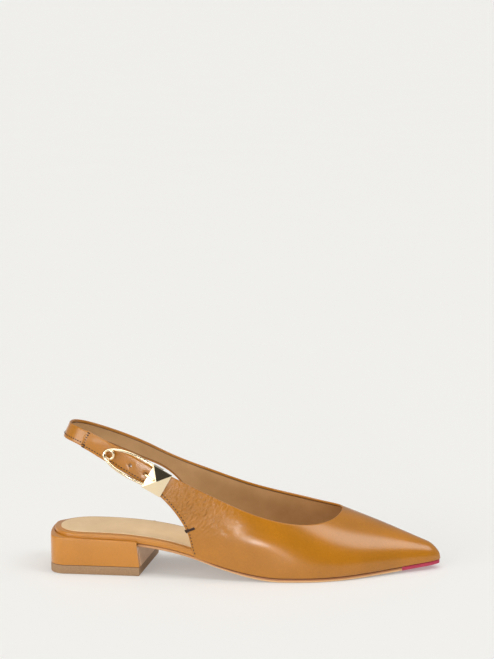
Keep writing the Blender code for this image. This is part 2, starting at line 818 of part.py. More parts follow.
def frame_path():
    """The frame's wire: upper arm, one turn and a third of the coil, lower arm."""
    coil = 0.5 * (COIL_DIAMETER - WIRE)
    leave = math.radians(ARM_LEAVE_DEGREES)
    swept = 2.0 * math.pi + 2.0 * leave
    lift = (WIRE + 2.0 * GAP) * swept / (2.0 * math.pi)
    level = wire_level()
    upper, lower = arm_path(UPPER_ARM_OFFSET, 15), arm_path(LOWER_ARM_OFFSET, 15)
    path = [STRAP.point(along, spread, level) for along, spread in upper[:-1]]
    for share in np.linspace(0.0, 1.0, 37):
        angle = leave - swept * share
        along = COIL_FROM_HEAD + coil * math.cos(angle)
        path.append(STRAP.point(along, coil * math.sin(angle), level + lift * share))
    for k in range(len(lower) - 2, -1, -1):
        along, spread = lower[k]
        settle = lift * float(ease(k / (len(lower) - 1), 0.25, 1.0))
        path.append(STRAP.point(along, -spread, level + settle))
    return path


def build_buckle(gold):
    """The wire frame, the pyramid head that holds both leather ends, and the prong."""
    add_object("buckle_frame", tube("buckle_frame", frame_path(), 0.5 * WIRE, 10), gold)
    middle, forward, across, outward = STRAP.frame(0.0)

    def at(along, up, out):
        return middle + forward * along + across * up + outward * out

    half_length, half_width = 0.5 * HEAD_LENGTH, 0.5 * HEAD_WIDTH
    inner = 0.5 * STRAP_END_THICKNESS + GAP
    roof = inner + HEAD_EDGE
    floor = -inner - HEAD_EDGE
    corners = [(-1, -1), (1, -1), (1, 1), (-1, 1)]
    points = [at(a * half_length, b * half_width, floor) for a, b in corners]
    points += [at(a * half_length, b * half_width, roof) for a, b in corners]
    points.append(at(0.0, 0.0, inner + HEAD_HEIGHT))
    faces = [(3, 2, 1, 0)]
    faces += [(k, (k + 1) % 4, 4 + (k + 1) % 4, 4 + k) for k in range(4)]
    faces += [(4 + k, 4 + (k + 1) % 4, 8) for k in range(4)]
    head = add_object("buckle_head", mesh_of("buckle_head", points, faces), gold, sharp=15.0)
    tunnel, wide, deep = half_width - HEAD_CHEEK, 2.0 * half_width, 2.0 * inner + HEAD_EDGE
    front = [(-wide, -deep), (wide, -deep), (wide, inner), (-wide, inner)]
    step = [(-wide, -deep), (wide, -deep), (wide, inner), (tunnel, inner),
            (tunnel, -inner), (-tunnel, -inner), (-tunnel, inner), (-wide, inner)]
    back = [(-tunnel, -inner), (tunnel, -inner), (tunnel, inner), (-tunnel, inner)]
    points = [at(along, up, out)
              for along, ring in ((-HEAD_LENGTH, front), (0.0, step), (HEAD_LENGTH, back))
              for up, out in ring]
    faces = [(3, 2, 1, 0), (0, 1, 5, 4), (1, 2, 6, 5), (0, 4, 11, 3), (4, 5, 6, 7, 8, 9, 10, 11),
             (3, 11, 10, 15, 14, 7, 6, 2), (9, 8, 13, 12), (8, 7, 14, 13), (9, 12, 15, 10),
             (12, 13, 14, 15)]
    cut_away(head, mesh_of("head_cutter", points, faces))
    rise = HEAD_HEIGHT - HEAD_EDGE
    clear = (0.5 * PRONG + GAP) * math.hypot(1.0, rise / half_length)
    path = []
    for along in np.linspace(0.3 * half_length, half_length, 6):
        path.append(at(along, 0.0, roof + rise * (1.0 - along / half_length) + clear))
    bend = HOLE_FROM_HEAD - half_length
    for angle in np.linspace(0.0, 0.5 * math.pi, 7)[1:]:
        drop = bend * (1.0 - math.cos(angle))
        path.append(at(half_length + bend * math.sin(angle), 0.0, roof + clear - drop))
    for out in np.linspace(roof + clear - bend, -0.5 * STRAP_END_THICKNESS, 4)[1:]:
        path.append(at(HOLE_FROM_HEAD, 0.0, out))
    add_object("prong", tube("prong", path, 0.5 * PRONG, 10), gold)


def main():
    for thing in list(bpy.data.objects):
        bpy.data.objects.remove(thing)
    tan = surface("tan_calf", TAN, 0.38)
    lining = surface("beige_lining", (0.62, 0.45, 0.26), 0.75)
    sole = surface("taupe_sole_leather", (0.40, 0.24, 0.12), 0.55)
    raspberry = surface("raspberry_sole_leather", (0.55, 0.05, 0.10), 0.5)
    rubber = surface("taupe_lift_rubber", (0.33, 0.19, 0.10), 0.6)
    gold = surface("pale_gold_plate", CREAM_GOLD, 0.18, 1.0)
    build_outsole(sole, raspberry)
    build_insole(tan, lining)
    build_heel(tan, rubber)
    build_upper(tan)
    build_straps(tan)
    build_buckle(gold)


main()
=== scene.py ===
"""Slingback pump, right shoe, in tan calf with a pale gold buckle.

Metres, +X from heel to toe, +Y to the inner side of the foot, +Z up from the floor."""

import math

import bpy
import bmesh
import numpy as np
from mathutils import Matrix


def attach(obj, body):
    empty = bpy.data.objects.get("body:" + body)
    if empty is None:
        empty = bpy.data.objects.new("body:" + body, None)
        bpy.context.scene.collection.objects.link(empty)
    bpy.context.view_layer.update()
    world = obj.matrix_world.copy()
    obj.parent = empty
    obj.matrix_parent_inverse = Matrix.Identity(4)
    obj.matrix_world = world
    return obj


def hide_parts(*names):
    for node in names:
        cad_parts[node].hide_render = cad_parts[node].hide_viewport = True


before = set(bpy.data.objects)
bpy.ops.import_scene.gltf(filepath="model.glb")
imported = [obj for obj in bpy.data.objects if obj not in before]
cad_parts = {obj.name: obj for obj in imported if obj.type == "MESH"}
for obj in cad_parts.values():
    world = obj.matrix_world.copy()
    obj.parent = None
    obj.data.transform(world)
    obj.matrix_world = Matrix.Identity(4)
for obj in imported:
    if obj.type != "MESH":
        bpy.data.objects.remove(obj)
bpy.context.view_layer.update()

# The last and the layers under the foot, as the solids have them
LAST_LENGTH = 0.2626
LAST_BACK = -0.0312
BALL_WIDTH = 0.0750
SEAT_HEIGHT = 0.0213
TOE_SPRING = 0.0034
INSTEP_HEIGHT = 0.0420
THROAT_SHARE = 0.752
TOE_ROUND = 0.0085
TOE_NOSE = 0.0095
SEAT_ROUND = 0.0255
FLAT_FROM_SHARE = 0.595
FLAT_TO_SHARE = 0.700
GAP = 0.0003
WALL = 0.0017
INSOLE_THICKNESS = 0.0042
INSOLE_INSIDE_THICKNESS = 0.0022
INSOLE_INSIDE_INSET = 0.0008
INSOLE_EDGE_ROUND = 0.0011
SOCK_THICKNESS = 0.0008
SOCK_INSET = 0.0042
SOCK_END_SHARE = 0.80
WAIST_SOLE_THICKNESS = 0.0018
BALL_SOLE_THICKNESS = 0.0028
SOLE_EDGE_ROUND = 0.0007
SOLE_UNDER_SEAT = 0.0006
SOLE_UNDER_UPPER = 0.0015
TIP_PIECE_LENGTH = 0.0262
TIP_JOINT = 0.00016
END_CLEAR = 0.00003
SEAT_POWER = 2.1
NOSE_POWER = 2.2
SPRING_POWER = 1.8
WALL_SHARE = 0.50
SHOULDER_PULL = 1.35

# From where to where along the last a layer changes
SOLE_THICKENS = (0.42, 0.56)
SOLE_WIDENS = (0.36, 0.44)
BARE_WAIST_ENDS = (0.36, 0.42)
INSOLE_THINS = (0.38, 0.52)
INSOLE_NARROWS = (0.36, 0.48)

# Heel block and top lift
HEEL_BACK = -0.0338
HEEL_FRONT = 0.0314
HEEL_OUTER_BACK = 0.0248
HEEL_OUTER_FRONT = 0.0285
HEEL_INNER_BACK = 0.0245
HEEL_INNER_FRONT = 0.0279
HEEL_CORNER = 0.0105
HEEL_BACK_BULGE = 0.0012
BREAST_SKEW = 0.0085
BREAST_LEAN = 0.0018
RIM_AT_BACK = 0.0254
RIM_AT_BREAST = 0.0236
RIM_ROUND = 0.0010
SEAT_CLEARANCE = 0.0004
LIFT_THICKNESS = 0.0060
BREAST_PANEL = 0.0004
BREAST_PANEL_SIDE = 0.0030
LIFT_JOINT = 0.00012
COVER_EDGE = 0.0005

# Quarters and strap
CORNER_FLARE = 0.0010
CORNER_LEAD = 0.0070
OUTER_TAIL = 0.0416
INNER_TAIL = 0.0300
TAIL_LOOK = 0.0060
STRAP_LOOK = 0.0004
STRAP_HEIGHT = 0.0955
STRAP_BACK = -0.0215
OUTER_STRAP_SLOPE = 0.572
INNER_STRAP_SLOPE = 0.430
OUTER_STRAP_LEVEL = 0.0140
INNER_STRAP_LEVEL = 0.0010
STRAP_WIDTH = 0.0108
INNER_TAIL_WIDTH = 0.0122
STRAP_END_WIDTH = 0.0138
SEAM_WIDTH = 0.0128
STRAP_TAPER_LENGTH = 0.045
STRAP_THICKNESS = 0.0020
STRAP_END_THICKNESS = 0.0026
STRAP_LEAN_RATIO = 0.46
STRAP_LONG_PULL_SHARE = 0.56
STRAP_ROUND_PULL_SHARE = 0.64
SEAM_FROM_BACK = 0.0233
LEATHER_PART = 0.80
LINING_PART = 0.81
LINING_BELOW_EDGE = 0.0011
TAIL_STEP = 0.0008
SLING_UNDER_END = 0.0060
SLING_THICKENS = 0.0200

# Strap end: its padding, the swell where it laps the sling, and how its edges and holes sink
PADDING = 0.00025
LAP_SWELL = 0.00045
LAP_PINCH = 0.0022
LAP_SWELL_FADES = (0.0060, 0.0160)
END_SINK = 0.0003
HOLE_SINK = 0.0003
HOLE_SINK_REACH = 0.0022

# Buckle
HEAD_LENGTH = 0.0143
HEAD_WIDTH = 0.0170
HEAD_HEIGHT = 0.0044
HEAD_EDGE = 0.0010
HEAD_CHEEK = 0.0012
WIRE = 0.0019
WIRE_STEP = 0.0004
COIL_DIAMETER = 0.0081
COIL_FROM_HEAD = 0.0362
UPPER_ARM_OFFSET = 0.0078
LOWER_ARM_OFFSET = 0.0063
ARM_BOW = 0.0012
ARM_LEAVE_DEGREES = 55.0
PRONG = 0.0017
PRONG_STEP = 0.0003
HOLE_PITCH = 0.0116
HOLE_FROM_HEAD = 0.0092
HOLE_COUNT = 2
PUNCHED_HOLE = 0.0027
CLOSED_HOLE = 0.0009
CLOSED_HOLE_OFF = 0.0006
STUD_SOFT_EDGE = 0.00022
ARM_IN_HEAD = 0.0004
ARM_BOW_PLACE = 0.33
ARM_LEAVE_PULL = 0.31

# Sewing
STITCH_PITCH = 0.0021
STITCH_LENGTH = 0.0011
THREAD = 0.00074
STITCH_INSET = 0.0017
SEAM_PITCH = 0.0016
SEAM_STITCH = 0.0018
SEAM_THREAD = 0.00075
SEAM_STITCHES_BEFORE_SEAM = 0.0020
SEAM_STITCHES_INSET = 0.0012
BARTACK_X, BARTACK_Z = 0.0608, 0.0328
BARTACK_LONG, BARTACK_RISE = 0.0060, 0.0026
BARTACK_PITCH = 0.00042
BARTACK_STITCH = 0.0023
BARTACK_THREAD = 0.0005
BARTACK_SLANT = 0.15

# Insole outline: place along the last, then its two edges as shares of the ball's width
PLAN = (
    # station, outer, inner
    (0.000, 0.318, 0.300),
    (0.100, 0.320, 0.305),
    (0.225, 0.345, 0.290),
    (0.357, 0.405, 0.268),
    (0.489, 0.475, 0.335),
    (0.600, 0.508, 0.440),
    (0.677, 0.492, 0.480),
    (0.752, 0.425, 0.455),
    (0.846, 0.275, 0.335),
    (0.921, 0.145, 0.205),
    (0.970, 0.070, 0.115),
    (1.000, 0.035, 0.065),
)

# Underside of the sole from the seat to the ball, as shares of the seat's height
WAIST = (
    # station, height
    (0.000, 1.00),
    (0.225, 0.93),
    (0.320, 0.76),
    (0.425, 0.41),
    (0.520, 0.10),
    (FLAT_FROM_SHARE, 0.00),
)

# Top of the last: ridge height over the instep's, then the ridge's place, swell and fullness
RIDGE = (
    # station, height, ridge_y, outer_swell, outer_full, inner_swell, inner_full
    (0.270, 2.85, 0.040, 0.060, 0.62, 0.100, 0.95),
    (0.370, 2.40, 0.040, 0.055, 0.60, 0.110, 0.95),
    (0.500, 1.80, 0.045, 0.045, 0.58, 0.080, 0.80),
    (0.620, 1.35, 0.050, 0.040, 0.50, 0.050, 0.62),
    (0.743, 1.00, 0.050, 0.040, 0.42, 0.035, 0.50),
    (0.850, 0.748, 0.045, 0.035, 0.42, 0.030, 0.46),
    (0.930, 0.545, 0.035, 0.020, 0.48, 0.020, 0.50),
    (1.000, 0.370, 0.025, 0.010, 0.55, 0.010, 0.55),
)

# Topline from the throat back to the tails, as shares of the strap's height
TOPLINE = (
    # way, outer, inner
    (0.000, 0.444, 0.444),
    (0.300, 0.396, 0.425),
    (0.500, 0.398, 0.460),
    (0.700, 0.472, 0.545),
    (0.850, 0.595, 0.665),
    (0.950, 0.702, 0.765),
)

# Back edge of each quarter, from the sole up: place along the last and share of strap height
OUTER_BACK_EDGE = (
    # station, height
    (0.372, 0.175),
    (0.360, 0.300),
    (0.338, 0.420),
    (0.306, 0.530),
)
INNER_BACK_EDGE = (
    # station, height
    (0.376, 0.190),
    (0.360, 0.330),
    (0.330, 0.520),
    (0.285, 0.640),
)

# Soft creases of the outer quarter, fanning up and forward from the bartack
CREASES = (
    # x_low, z_low, x_high, z_high, depth, spread
    (0.0630, 0.0375, 0.0720, 0.0540, 0.00013, 0.0020),
    (0.0672, 0.0365, 0.0790, 0.0540, 0.00018, 0.0021),
    (0.0720, 0.0370, 0.0850, 0.0520, 0.00016, 0.0023),
    (0.0590, 0.0420, 0.0640, 0.0540, 0.00012, 0.0018),
)

# Dents and swells of the outer side behind the ball; a swell's depth is below zero
DENTS = (
    # x, z, along, across, degrees, depth
    (0.0865, 0.0345, 0.0050, 0.0024, -32.0, 0.00022),
    (0.1085, 0.0268, 0.0220, 0.0085, 0.0, -0.00080),
    (0.0735, 0.0330, 0.0060, 0.0030, 10.0, 0.00020),
)

# Where the leather is crinkled by flexing: middle and reach
FLEX_X = 0.0640
FLEX_Z = 0.0500
FLEX_LONG = 0.0240
FLEX_HIGH = 0.0150

VAMP_ROWS = 60
FEATHER_COLUMNS = 120
TAIL_COLUMNS = 64
SLING_COLUMNS = 130
WAYS = 56
END_ROWS = 120
END_WAYS = 24
OUTER, INNER = -1.0, 1.0
STRAP_FALL = {
    OUTER: (OUTER_STRAP_SLOPE, OUTER_STRAP_LEVEL),
    INNER: (INNER_STRAP_SLOPE, INNER_STRAP_LEVEL),
}


# Curves and surfaces of the last
def curve_through(places, values, start_slope=None, end_slope=None):
    """A smooth curve of second order through the points, as a function."""
    places = np.asarray(places, float)
    values = np.asarray(values, float)
    step = np.diff(places)
    rise = np.diff(values) / step
    count = len(places)
    system = np.zeros((count, count))
    target = np.zeros(count)
    for i in range(1, count - 1):
        system[i, i - 1 : i + 2] = step[i], 2 * (step[i] + step[i - 1]), step[i - 1]
        target[i] = 3 * (step[i] * rise[i - 1] + step[i - 1] * rise[i])
    for row, near, slope, first in ((0, 1, start_slope, rise[0]), (-1, -2, end_slope, rise[-1])):
        system[row, row] = 1.0 if slope is not None else 2.0
        system[row, near] = 0.0 if slope is not None else 1.0
        target[row] = slope if slope is not None else 3 * first
    slopes = np.linalg.solve(system, target)

    def at(place):
        place = np.clip(place, places[0], places[-1])
        i = np.clip(np.searchsorted(places, place) - 1, 0, count - 2)
        t = (place - places[i]) / step[i]
        return (
            values[i] * (1 + 2 * t) * (1 - t) ** 2
            + slopes[i] * step[i] * t * (1 - t) ** 2
            + values[i + 1] * t**2 * (3 - 2 * t)
            + slopes[i + 1] * step[i] * t**2 * (t - 1)
        )

    return at


def columns(rows, **ends):
    """One curve for each column of a table, over its first column."""
    table = np.array(rows, float)
    return [curve_through(table[:, 0], table[:, k], **ends) for k in range(1, table.shape[1])]


def round_end(distance, radius, power=2.0):
    """Share of the full size at a distance from a round end."""
    reach = np.clip(np.asarray(distance, float) / radius, 0.0, 1.0)
    return (1.0 - (1.0 - reach) ** power) ** (1.0 / power)


def ease(value, start, end):
    """0 before start, 1 after end, smooth between."""
    t = np.clip((value - start) / (end - start), 0.0, 1.0)
    return t * t * (3.0 - 2.0 * t)


def spread_ends(start, end, count):
    """Places between two ends, closer together near both."""
    return start + (end - start) * 0.5 * (1.0 - np.cos(np.linspace(0.0, math.pi, count)))


def bend(t, a, b, c, d):
    """The place t of the way along a cubic curve from a to d that is drawn towards b and c."""
    return (1 - t) ** 3 * a + 3 * t * (1 - t) ** 2 * b + 3 * t**2 * (1 - t) * c + t**3 * d


def unit(vector):
    vector = np.asarray(vector, float)
    return vector / np.maximum(np.linalg.norm(vector, axis=-1, keepdims=True), 1e-12)


def station_of(x):
    return (x - LAST_BACK) / LAST_LENGTH


def place_of(station):
    return LAST_BACK + station * LAST_LENGTH


plan_outer, plan_inner = columns(PLAN)
(waist_height,) = columns(WAIST, end_slope=0.0)
ridge_height, ridge_side, outer_swell, outer_full, inner_swell, inner_full = columns(RIDGE)
topline_outer, topline_inner = columns(TOPLINE, start_slope=0.0)


class Outline:
    """Both edges of a flat piece seen from above, from its back to its tip."""

    def __init__(self, x, outer, inner):
        self.sides = {OUTER: (x, outer), INNER: (x, inner)}

    @classmethod
    def of_last(cls):
        x = spread_ends(LAST_BACK, LAST_BACK + LAST_LENGTH, 961)
        station = station_of(x)
        seat = round_end(x - LAST_BACK, SEAT_ROUND, SEAT_POWER)
        tip = round_end(LAST_BACK + LAST_LENGTH - x, TOE_ROUND)
        close = seat * tip
        middle = 0.5 * BALL_WIDTH * (plan_inner(station) - plan_outer(station))
        half = 0.5 * BALL_WIDTH * (plan_inner(station) + plan_outer(station))
        return cls(x, middle - half * close, middle + half * close)

    def grown(self, margin):
        """The outline moved out by a margin, a number or a function of x."""
        grown = Outline(None, None, None)
        for side, (x, y) in self.sides.items():
            dx, dy = np.gradient(x), np.gradient(y)
            dx[0], dx[-1] = 0.0, 0.0
            size = np.hypot(dx, dy)
            out = margin(x) if callable(margin) else margin
            grown.sides[side] = (x - side * out * dy / size, y + side * out * dx / size)
        return grown

    def ends(self):
        x = self.sides[OUTER][0]
        return x[0], x[-1]

    def edge(self, side, x):
        places, y = self.sides[side]
        return np.interp(x, places, y)


LAST = Outline.of_last()


def sole_underside(x):
    """Height of the outsole's underside: seat, waist, flat tread, then toe spring."""
    station = station_of(x)
    rising = np.clip((station - FLAT_TO_SHARE) / (1.0 - FLAT_TO_SHARE), 0.0, None)
    waist = SEAT_HEIGHT * waist_height(station)
    return np.where(station < FLAT_FROM_SHARE, waist, TOE_SPRING * rising**SPRING_POWER)


def sole_thickness(x):
    thicker = ease(station_of(x), *SOLE_THICKENS)
    return WAIST_SOLE_THICKNESS + (BALL_SOLE_THICKNESS - WAIST_SOLE_THICKNESS) * thicker


def sole_top(x):
    return sole_underside(x) + sole_thickness(x)


def insole_thickness(x):
    thinner = ease(station_of(x), *INSOLE_THINS)
    return INSOLE_THICKNESS + (INSOLE_INSIDE_THICKNESS - INSOLE_THICKNESS) * thinner


def insole_top(x):
    return sole_top(x) + GAP + insole_thickness(x)


FEATHER = LAST.grown(GAP + WALL)
TOE_TIP = FEATHER.ends()[1]
THROAT = place_of(THROAT_SHARE)


def ridge(x):
    """The highest point of the upper's section at x: its y and its z."""
    station = station_of(x)
    foot = sole_top(x) + GAP
    nose = round_end(TOE_TIP - x, TOE_NOSE, NOSE_POWER)
    tip_y = 0.5 * (FEATHER.edge(OUTER, TOE_TIP) + FEATHER.edge(INNER, TOE_TIP))
    y = tip_y + (BALL_WIDTH * ridge_side(station) - tip_y) * nose
    return y, foot + (INSTEP_HEIGHT * ridge_height(station) - foot) * nose


def section(x, way, side):
    """Point of the upper's outer face at x, on the way from the feather edge up to the ridge."""
    station = station_of(x)
    swell, full = (outer_swell, outer_full) if side == OUTER else (inner_swell, inner_full)
    nose = round_end(TOE_TIP - x, TOE_NOSE, NOSE_POWER)
    foot_y, foot_z = FEATHER.edge(side, x), sole_top(x) + GAP
    top_y, top_z = ridge(x)
    wall_y = foot_y + side * BALL_WIDTH * swell(station) * nose
    wall_z = foot_z + WALL_SHARE * (top_z - foot_z)
    shoulder_y = top_y + (foot_y - top_y) * full(station) * SHOULDER_PULL
    y = bend(way, foot_y, wall_y, shoulder_y, top_y)
    z = bend(way, foot_z, wall_z, top_z, top_z)
    return np.stack([x + 0.0 * way, y, z], -1)


def way_at_height(x, height, side):
    """How far up the section at x reaches the height."""
    ways = np.linspace(0.0, 1.0, 101)
    heights = section(np.full_like(ways, x), ways, side)[:, 2]
    return float(np.interp(height, heights, ways))


def strap_line(x, side):
    """Height of the strap's middle line at x."""
    slope, level = STRAP_FALL[side]
    return STRAP_HEIGHT - slope * (math.hypot(x - STRAP_BACK, level) - level)


def strap_tilt(x, side):
    """The strap's own width direction at x, where it runs along the side."""
    steepest, level = STRAP_FALL[side]
    slope = steepest * (x - STRAP_BACK) / math.hypot(x - STRAP_BACK, level)
    return np.array([slope, 0.0, 1.0]) / math.hypot(slope, 1.0)


def tail_corner(side, up):
    """Place and height of a corner of a quarter's tail, where the strap takes over."""
    x, width = (OUTER_TAIL, STRAP_END_WIDTH) if side == OUTER else (INNER_TAIL, INNER_TAIL_WIDTH)
    reach = up * 0.5 * width * strap_tilt(x, side)
    return x + reach[0], strap_line(x, side) + reach[2]


def quarter_columns(side, throat):
    """Ends of a quarter's columns from the throat to its tail: place and way up, low and high."""
    top_x, top_z = tail_corner(side, 1.0)
    low_x, low_z = tail_corner(side, -1.0)
    topline = topline_outer if side == OUTER else topline_inner
    edge_rows = OUTER_BACK_EDGE if side == OUTER else INNER_BACK_EDGE
    way = [row[0] for row in TOPLINE] + [1.0]
    height = [float(ridge(THROAT)[1])] + [STRAP_HEIGHT * float(topline(w)) for w in way[1:-1]]
    top_height = curve_through(way, height + [top_z], start_slope=0.0)
    corner_x = place_of(edge_rows[0][0]) + CORNER_FLARE
    edge_x = [corner_x] + [place_of(row[0]) for row in edge_rows] + [low_x]
    feather_z = float(sole_top(corner_x)) + GAP
    edge_z = [feather_z] + [STRAP_HEIGHT * row[1] for row in edge_rows] + [low_z]
    travel = np.concatenate([[0.0], np.cumsum(np.hypot(np.diff(edge_x), np.diff(edge_z)))])
    along_x, along_z = curve_through(travel, edge_x), curve_through(travel, edge_z)
    turn = math.sqrt((THROAT - corner_x - CORNER_LEAD) / (THROAT - top_x))
    forward_steps = turn * np.linspace(0.0, 1.0, FEATHER_COLUMNS + 1)[1:]
    steps = np.concatenate([forward_steps, np.linspace(turn, 1.0, TAIL_COLUMNS + 1)[1:]])
    result = []
    for step in steps:
        x_top = throat - (throat - top_x) * step**2
        way_top = way_at_height(x_top, float(top_height(step)), side)
        if step <= turn:
            x_low = throat - (throat - corner_x) * (step / turn) ** 2
            way_low = 0.0
        else:
            along = travel[-1] * (step - turn) / (1.0 - turn)
            x_low = float(along_x(along))
            way_low = way_at_height(x_low, float(along_z(along)), side)
        result.append((x_low, way_low, x_top, way_top, step))
    return result


# The strap's path
def tail_of(side):
    """Middle of a quarter's tail, its width direction and how it runs aside with x."""
    low, high = tail_corner(side, -1.0), tail_corner(side, 1.0)
    ends = [section(x, way_at_height(x, z, side), side) for x, z in (low, high)]
    middle, width = 0.5 * (ends[0] + ends[1]), ends[1] - ends[0]
    ahead_x = middle[0] + TAIL_LOOK
    ahead = section(ahead_x, way_at_height(ahead_x, middle[2], side), side)
    aside = (ahead[1] - middle[1]) / TAIL_LOOK
    return middle - np.array([0.0, side * 0.5 * WALL, 0.0]), width / np.linalg.norm(width), aside


class Strap:
    """The strap's middle surface, from the outer tail round the heel to the inner tail."""

    def __init__(self):
        halves = {side: self.half(side) for side in (OUTER, INNER)}
        joined = [np.vstack([halves[OUTER][k], halves[INNER][k][-2::-1]]) for k in (0, 1)]
        self.points, self.widths = joined
        steps = np.linalg.norm(np.diff(self.points, axis=0), axis=1)
        self.travel = np.concatenate([[0.0], np.cumsum(steps)])
        self.length = self.travel[-1]
        self.back = self.travel[len(halves[OUTER][0]) - 1]

    @staticmethod
    def half(side):
        """Points and width directions from a tail to the middle of the back."""
        middle, width, aside = tail_of(side)
        long = middle[0] - STRAP_BACK
        start = np.array(middle[:2])
        lean_in = start - long * STRAP_LONG_PULL_SHARE * np.array([1.0, aside])
        end = np.array([STRAP_BACK, 0.0])
        round_off = end + np.array([0.0, middle[1] * STRAP_ROUND_PULL_SHARE])
        points, widths = [], []
        for t in np.linspace(0.0, 1.0, 181):
            x, y = bend(t, start, lean_in, round_off, end)
            points.append((x, y, strap_line(x, side)))
            worn_in = ease(t, 0.0, 0.45)
            leaning = np.array([STRAP_LEAN_RATIO, 0.0, 1.0])
            widths.append((1.0 - worn_in) * width + worn_in * leaning)
        return np.array(points), np.array(widths)

    def pick(self, table, along):
        return np.array([np.interp(along, self.travel, table[:, k]) for k in range(3)])

    def frame(self, along):
        """The middle point, and the directions along, across (up) and outward."""
        inside = min(max(along, 0.0), self.length)
        point = self.pick(self.points, inside)
        ahead = self.pick(self.points, min(inside + STRAP_LOOK, self.length))
        behind = self.pick(self.points, max(inside - STRAP_LOOK, 0.0))
        forward = unit(ahead - behind)
        across = self.pick(self.widths, inside)
        across = unit(across - forward * across.dot(forward))
        outward = np.cross(across, forward)
        return point + forward * (along - inside), forward, across, outward

    def point(self, along, up=0.0, out=0.0):
        middle, _, across, outward = self.frame(along)
        return middle + across * up + outward * out


STRAP = Strap()
SEAM = STRAP.back - SEAM_FROM_BACK


def strap_half_width(along):
    """Half of the width: the end piece narrows to the seam, the sling widens to the inner tail."""
    if along < SEAM:
        return 0.5 * (STRAP_END_WIDTH + (SEAM_WIDTH - STRAP_END_WIDTH) * along / SEAM)
    wider = 1.0 - float(ease(STRAP.length - along, 0.0, STRAP_TAPER_LENGTH))
    return 0.5 * (STRAP_WIDTH + (INNER_TAIL_WIDTH - STRAP_WIDTH) * wider)


# Nodes, colours and materials
def add(tree, kind, inputs=None, **settings):
    """A node with its settings; an input is a value or another node's output."""
    node = tree.nodes.new(kind)
    for name, value in settings.items():
        setattr(node, name, value)
    for name, value in (inputs or {}).items():
        if isinstance(value, bpy.types.NodeSocket):
            tree.links.new(value, node.inputs[name])
        else:
            node.inputs[name].default_value = value
    return node


def linear(hex_colour):
    """An sRGB hex colour as the linear colour that a shader takes."""
    parts = [int(hex_colour[k : k + 2], 16) / 255.0 for k in (1, 3, 5)]
    turned = [p / 12.92 if p <= 0.04045 else ((p + 0.055) / 1.055) ** 2.4 for p in parts]
    return (*turned, 1.0)


def new_material(name, colour):
    made = bpy.data.materials.new(name)
    made.use_nodes = True
    made.diffuse_color = linear(colour)
    shader = made.node_tree.nodes["Principled BSDF"]
    shader.inputs["Base Color"].default_value = linear(colour)
    return made, made.node_tree, shader


def set_stops(ramp, *stops):
    """Places and sRGB hex colours along a colour ramp, which has two stops to begin with."""
    for place, _ in stops[1:-1]:
        ramp.elements.new(place)
    for element, (place, colour) in zip(ramp.elements, stops):
        element.position, element.color = place, linear(colour)


def glazed_calf(name, dark, light):
    """Tan calf, drum dyed and glazed: an even amber brown with faint clouds, a fine close grain
    that only just breaks the gloss, and a clear soft sheen over it."""
    made, tree, shader = new_material(name, light)
    place = add(tree, "ShaderNodeTexCoord").outputs["Object"]
    # the dye lies in clouds of about 25 mm
    clouds = add(tree, "ShaderNodeTexNoise",
                 {"Vector": place, "Scale": 40.0, "Detail": 3.0, "Roughness": 0.5})
    # hair cells of the grain are 0.2 mm on the hide, drawn at 0.9 mm so that they show
    grain = add(tree, "ShaderNodeTexVoronoi", {"Vector": place, "Scale": 1100.0}, feature="F1")
    fine = add(tree, "ShaderNodeTexNoise",
               {"Vector": place, "Scale": 750.0, "Detail": 4.0, "Roughness": 0.6}).outputs["Fac"]
    middle = {"Value": fine, "From Min": 0.3, "From Max": 0.7}
    spots = add(tree, "ShaderNodeMapRange", {**middle, "To Min": -0.14, "To Max": 0.14})
    blend = add(tree, "ShaderNodeMath",
                {0: clouds.outputs["Fac"], 1: spots.outputs["Result"]}, operation="ADD")
    tone = add(tree, "ShaderNodeValToRGB", {"Fac": blend.outputs["Value"]})
    set_stops(tone.color_ramp, (0.28, dark), (0.74, light))
    tree.links.new(tone.outputs["Color"], shader.inputs["Base Color"])
    gloss = add(tree, "ShaderNodeMapRange", {**middle, "To Min": 0.36, "To Max": 0.44})
    tree.links.new(gloss.outputs["Result"], shader.inputs["Roughness"])
    # crinkles of about 2 by 4 mm lie up and forward across the flexed quarter
    slanted = add(tree, "ShaderNodeMapping",
                  {"Vector": place, "Rotation": (0.0, math.radians(-52.0), 0.0),
                   "Scale": (0.0044, 0.0044, 0.0020)}, vector_type="TEXTURE").outputs["Vector"]
    folds = add(tree, "ShaderNodeTexNoise", {"Vector": slanted, "Scale": 1.0, "Detail": 4.0})
    flex = add(tree, "ShaderNodeAttribute", attribute_name="flex").outputs["Fac"]
    crinkle = add(tree, "ShaderNodeMath",
                  {0: folds.outputs["Fac"], 1: flex}, operation="MULTIPLY").outputs["Value"]
    both = add(tree, "ShaderNodeMath",
               {0: grain.outputs["Distance"], 1: fine}, operation="ADD").outputs["Value"]
    large = add(tree, "ShaderNodeBump",
                {"Height": crinkle, "Strength": 1.0, "Distance": 0.0032}).outputs["Normal"]
    # the glaze fills about half of the grain's relief
    for strength, socket in ((0.30, "Normal"), (0.16, "Coat Normal")):
        relief = add(tree, "ShaderNodeBump", {"Height": both, "Strength": strength,
                                              "Distance": 0.00012, "Normal": large})
        tree.links.new(relief.outputs["Normal"], shader.inputs[socket])
    shader.inputs["IOR"].default_value = 1.5
    # under a glaze of the same index the grain itself hardly reflects
    shader.inputs["Specular IOR Level"].default_value = 0.2
    shader.inputs["Coat Weight"].default_value = 1.0
    shader.inputs["Coat Roughness"].default_value = 0.20
    return made


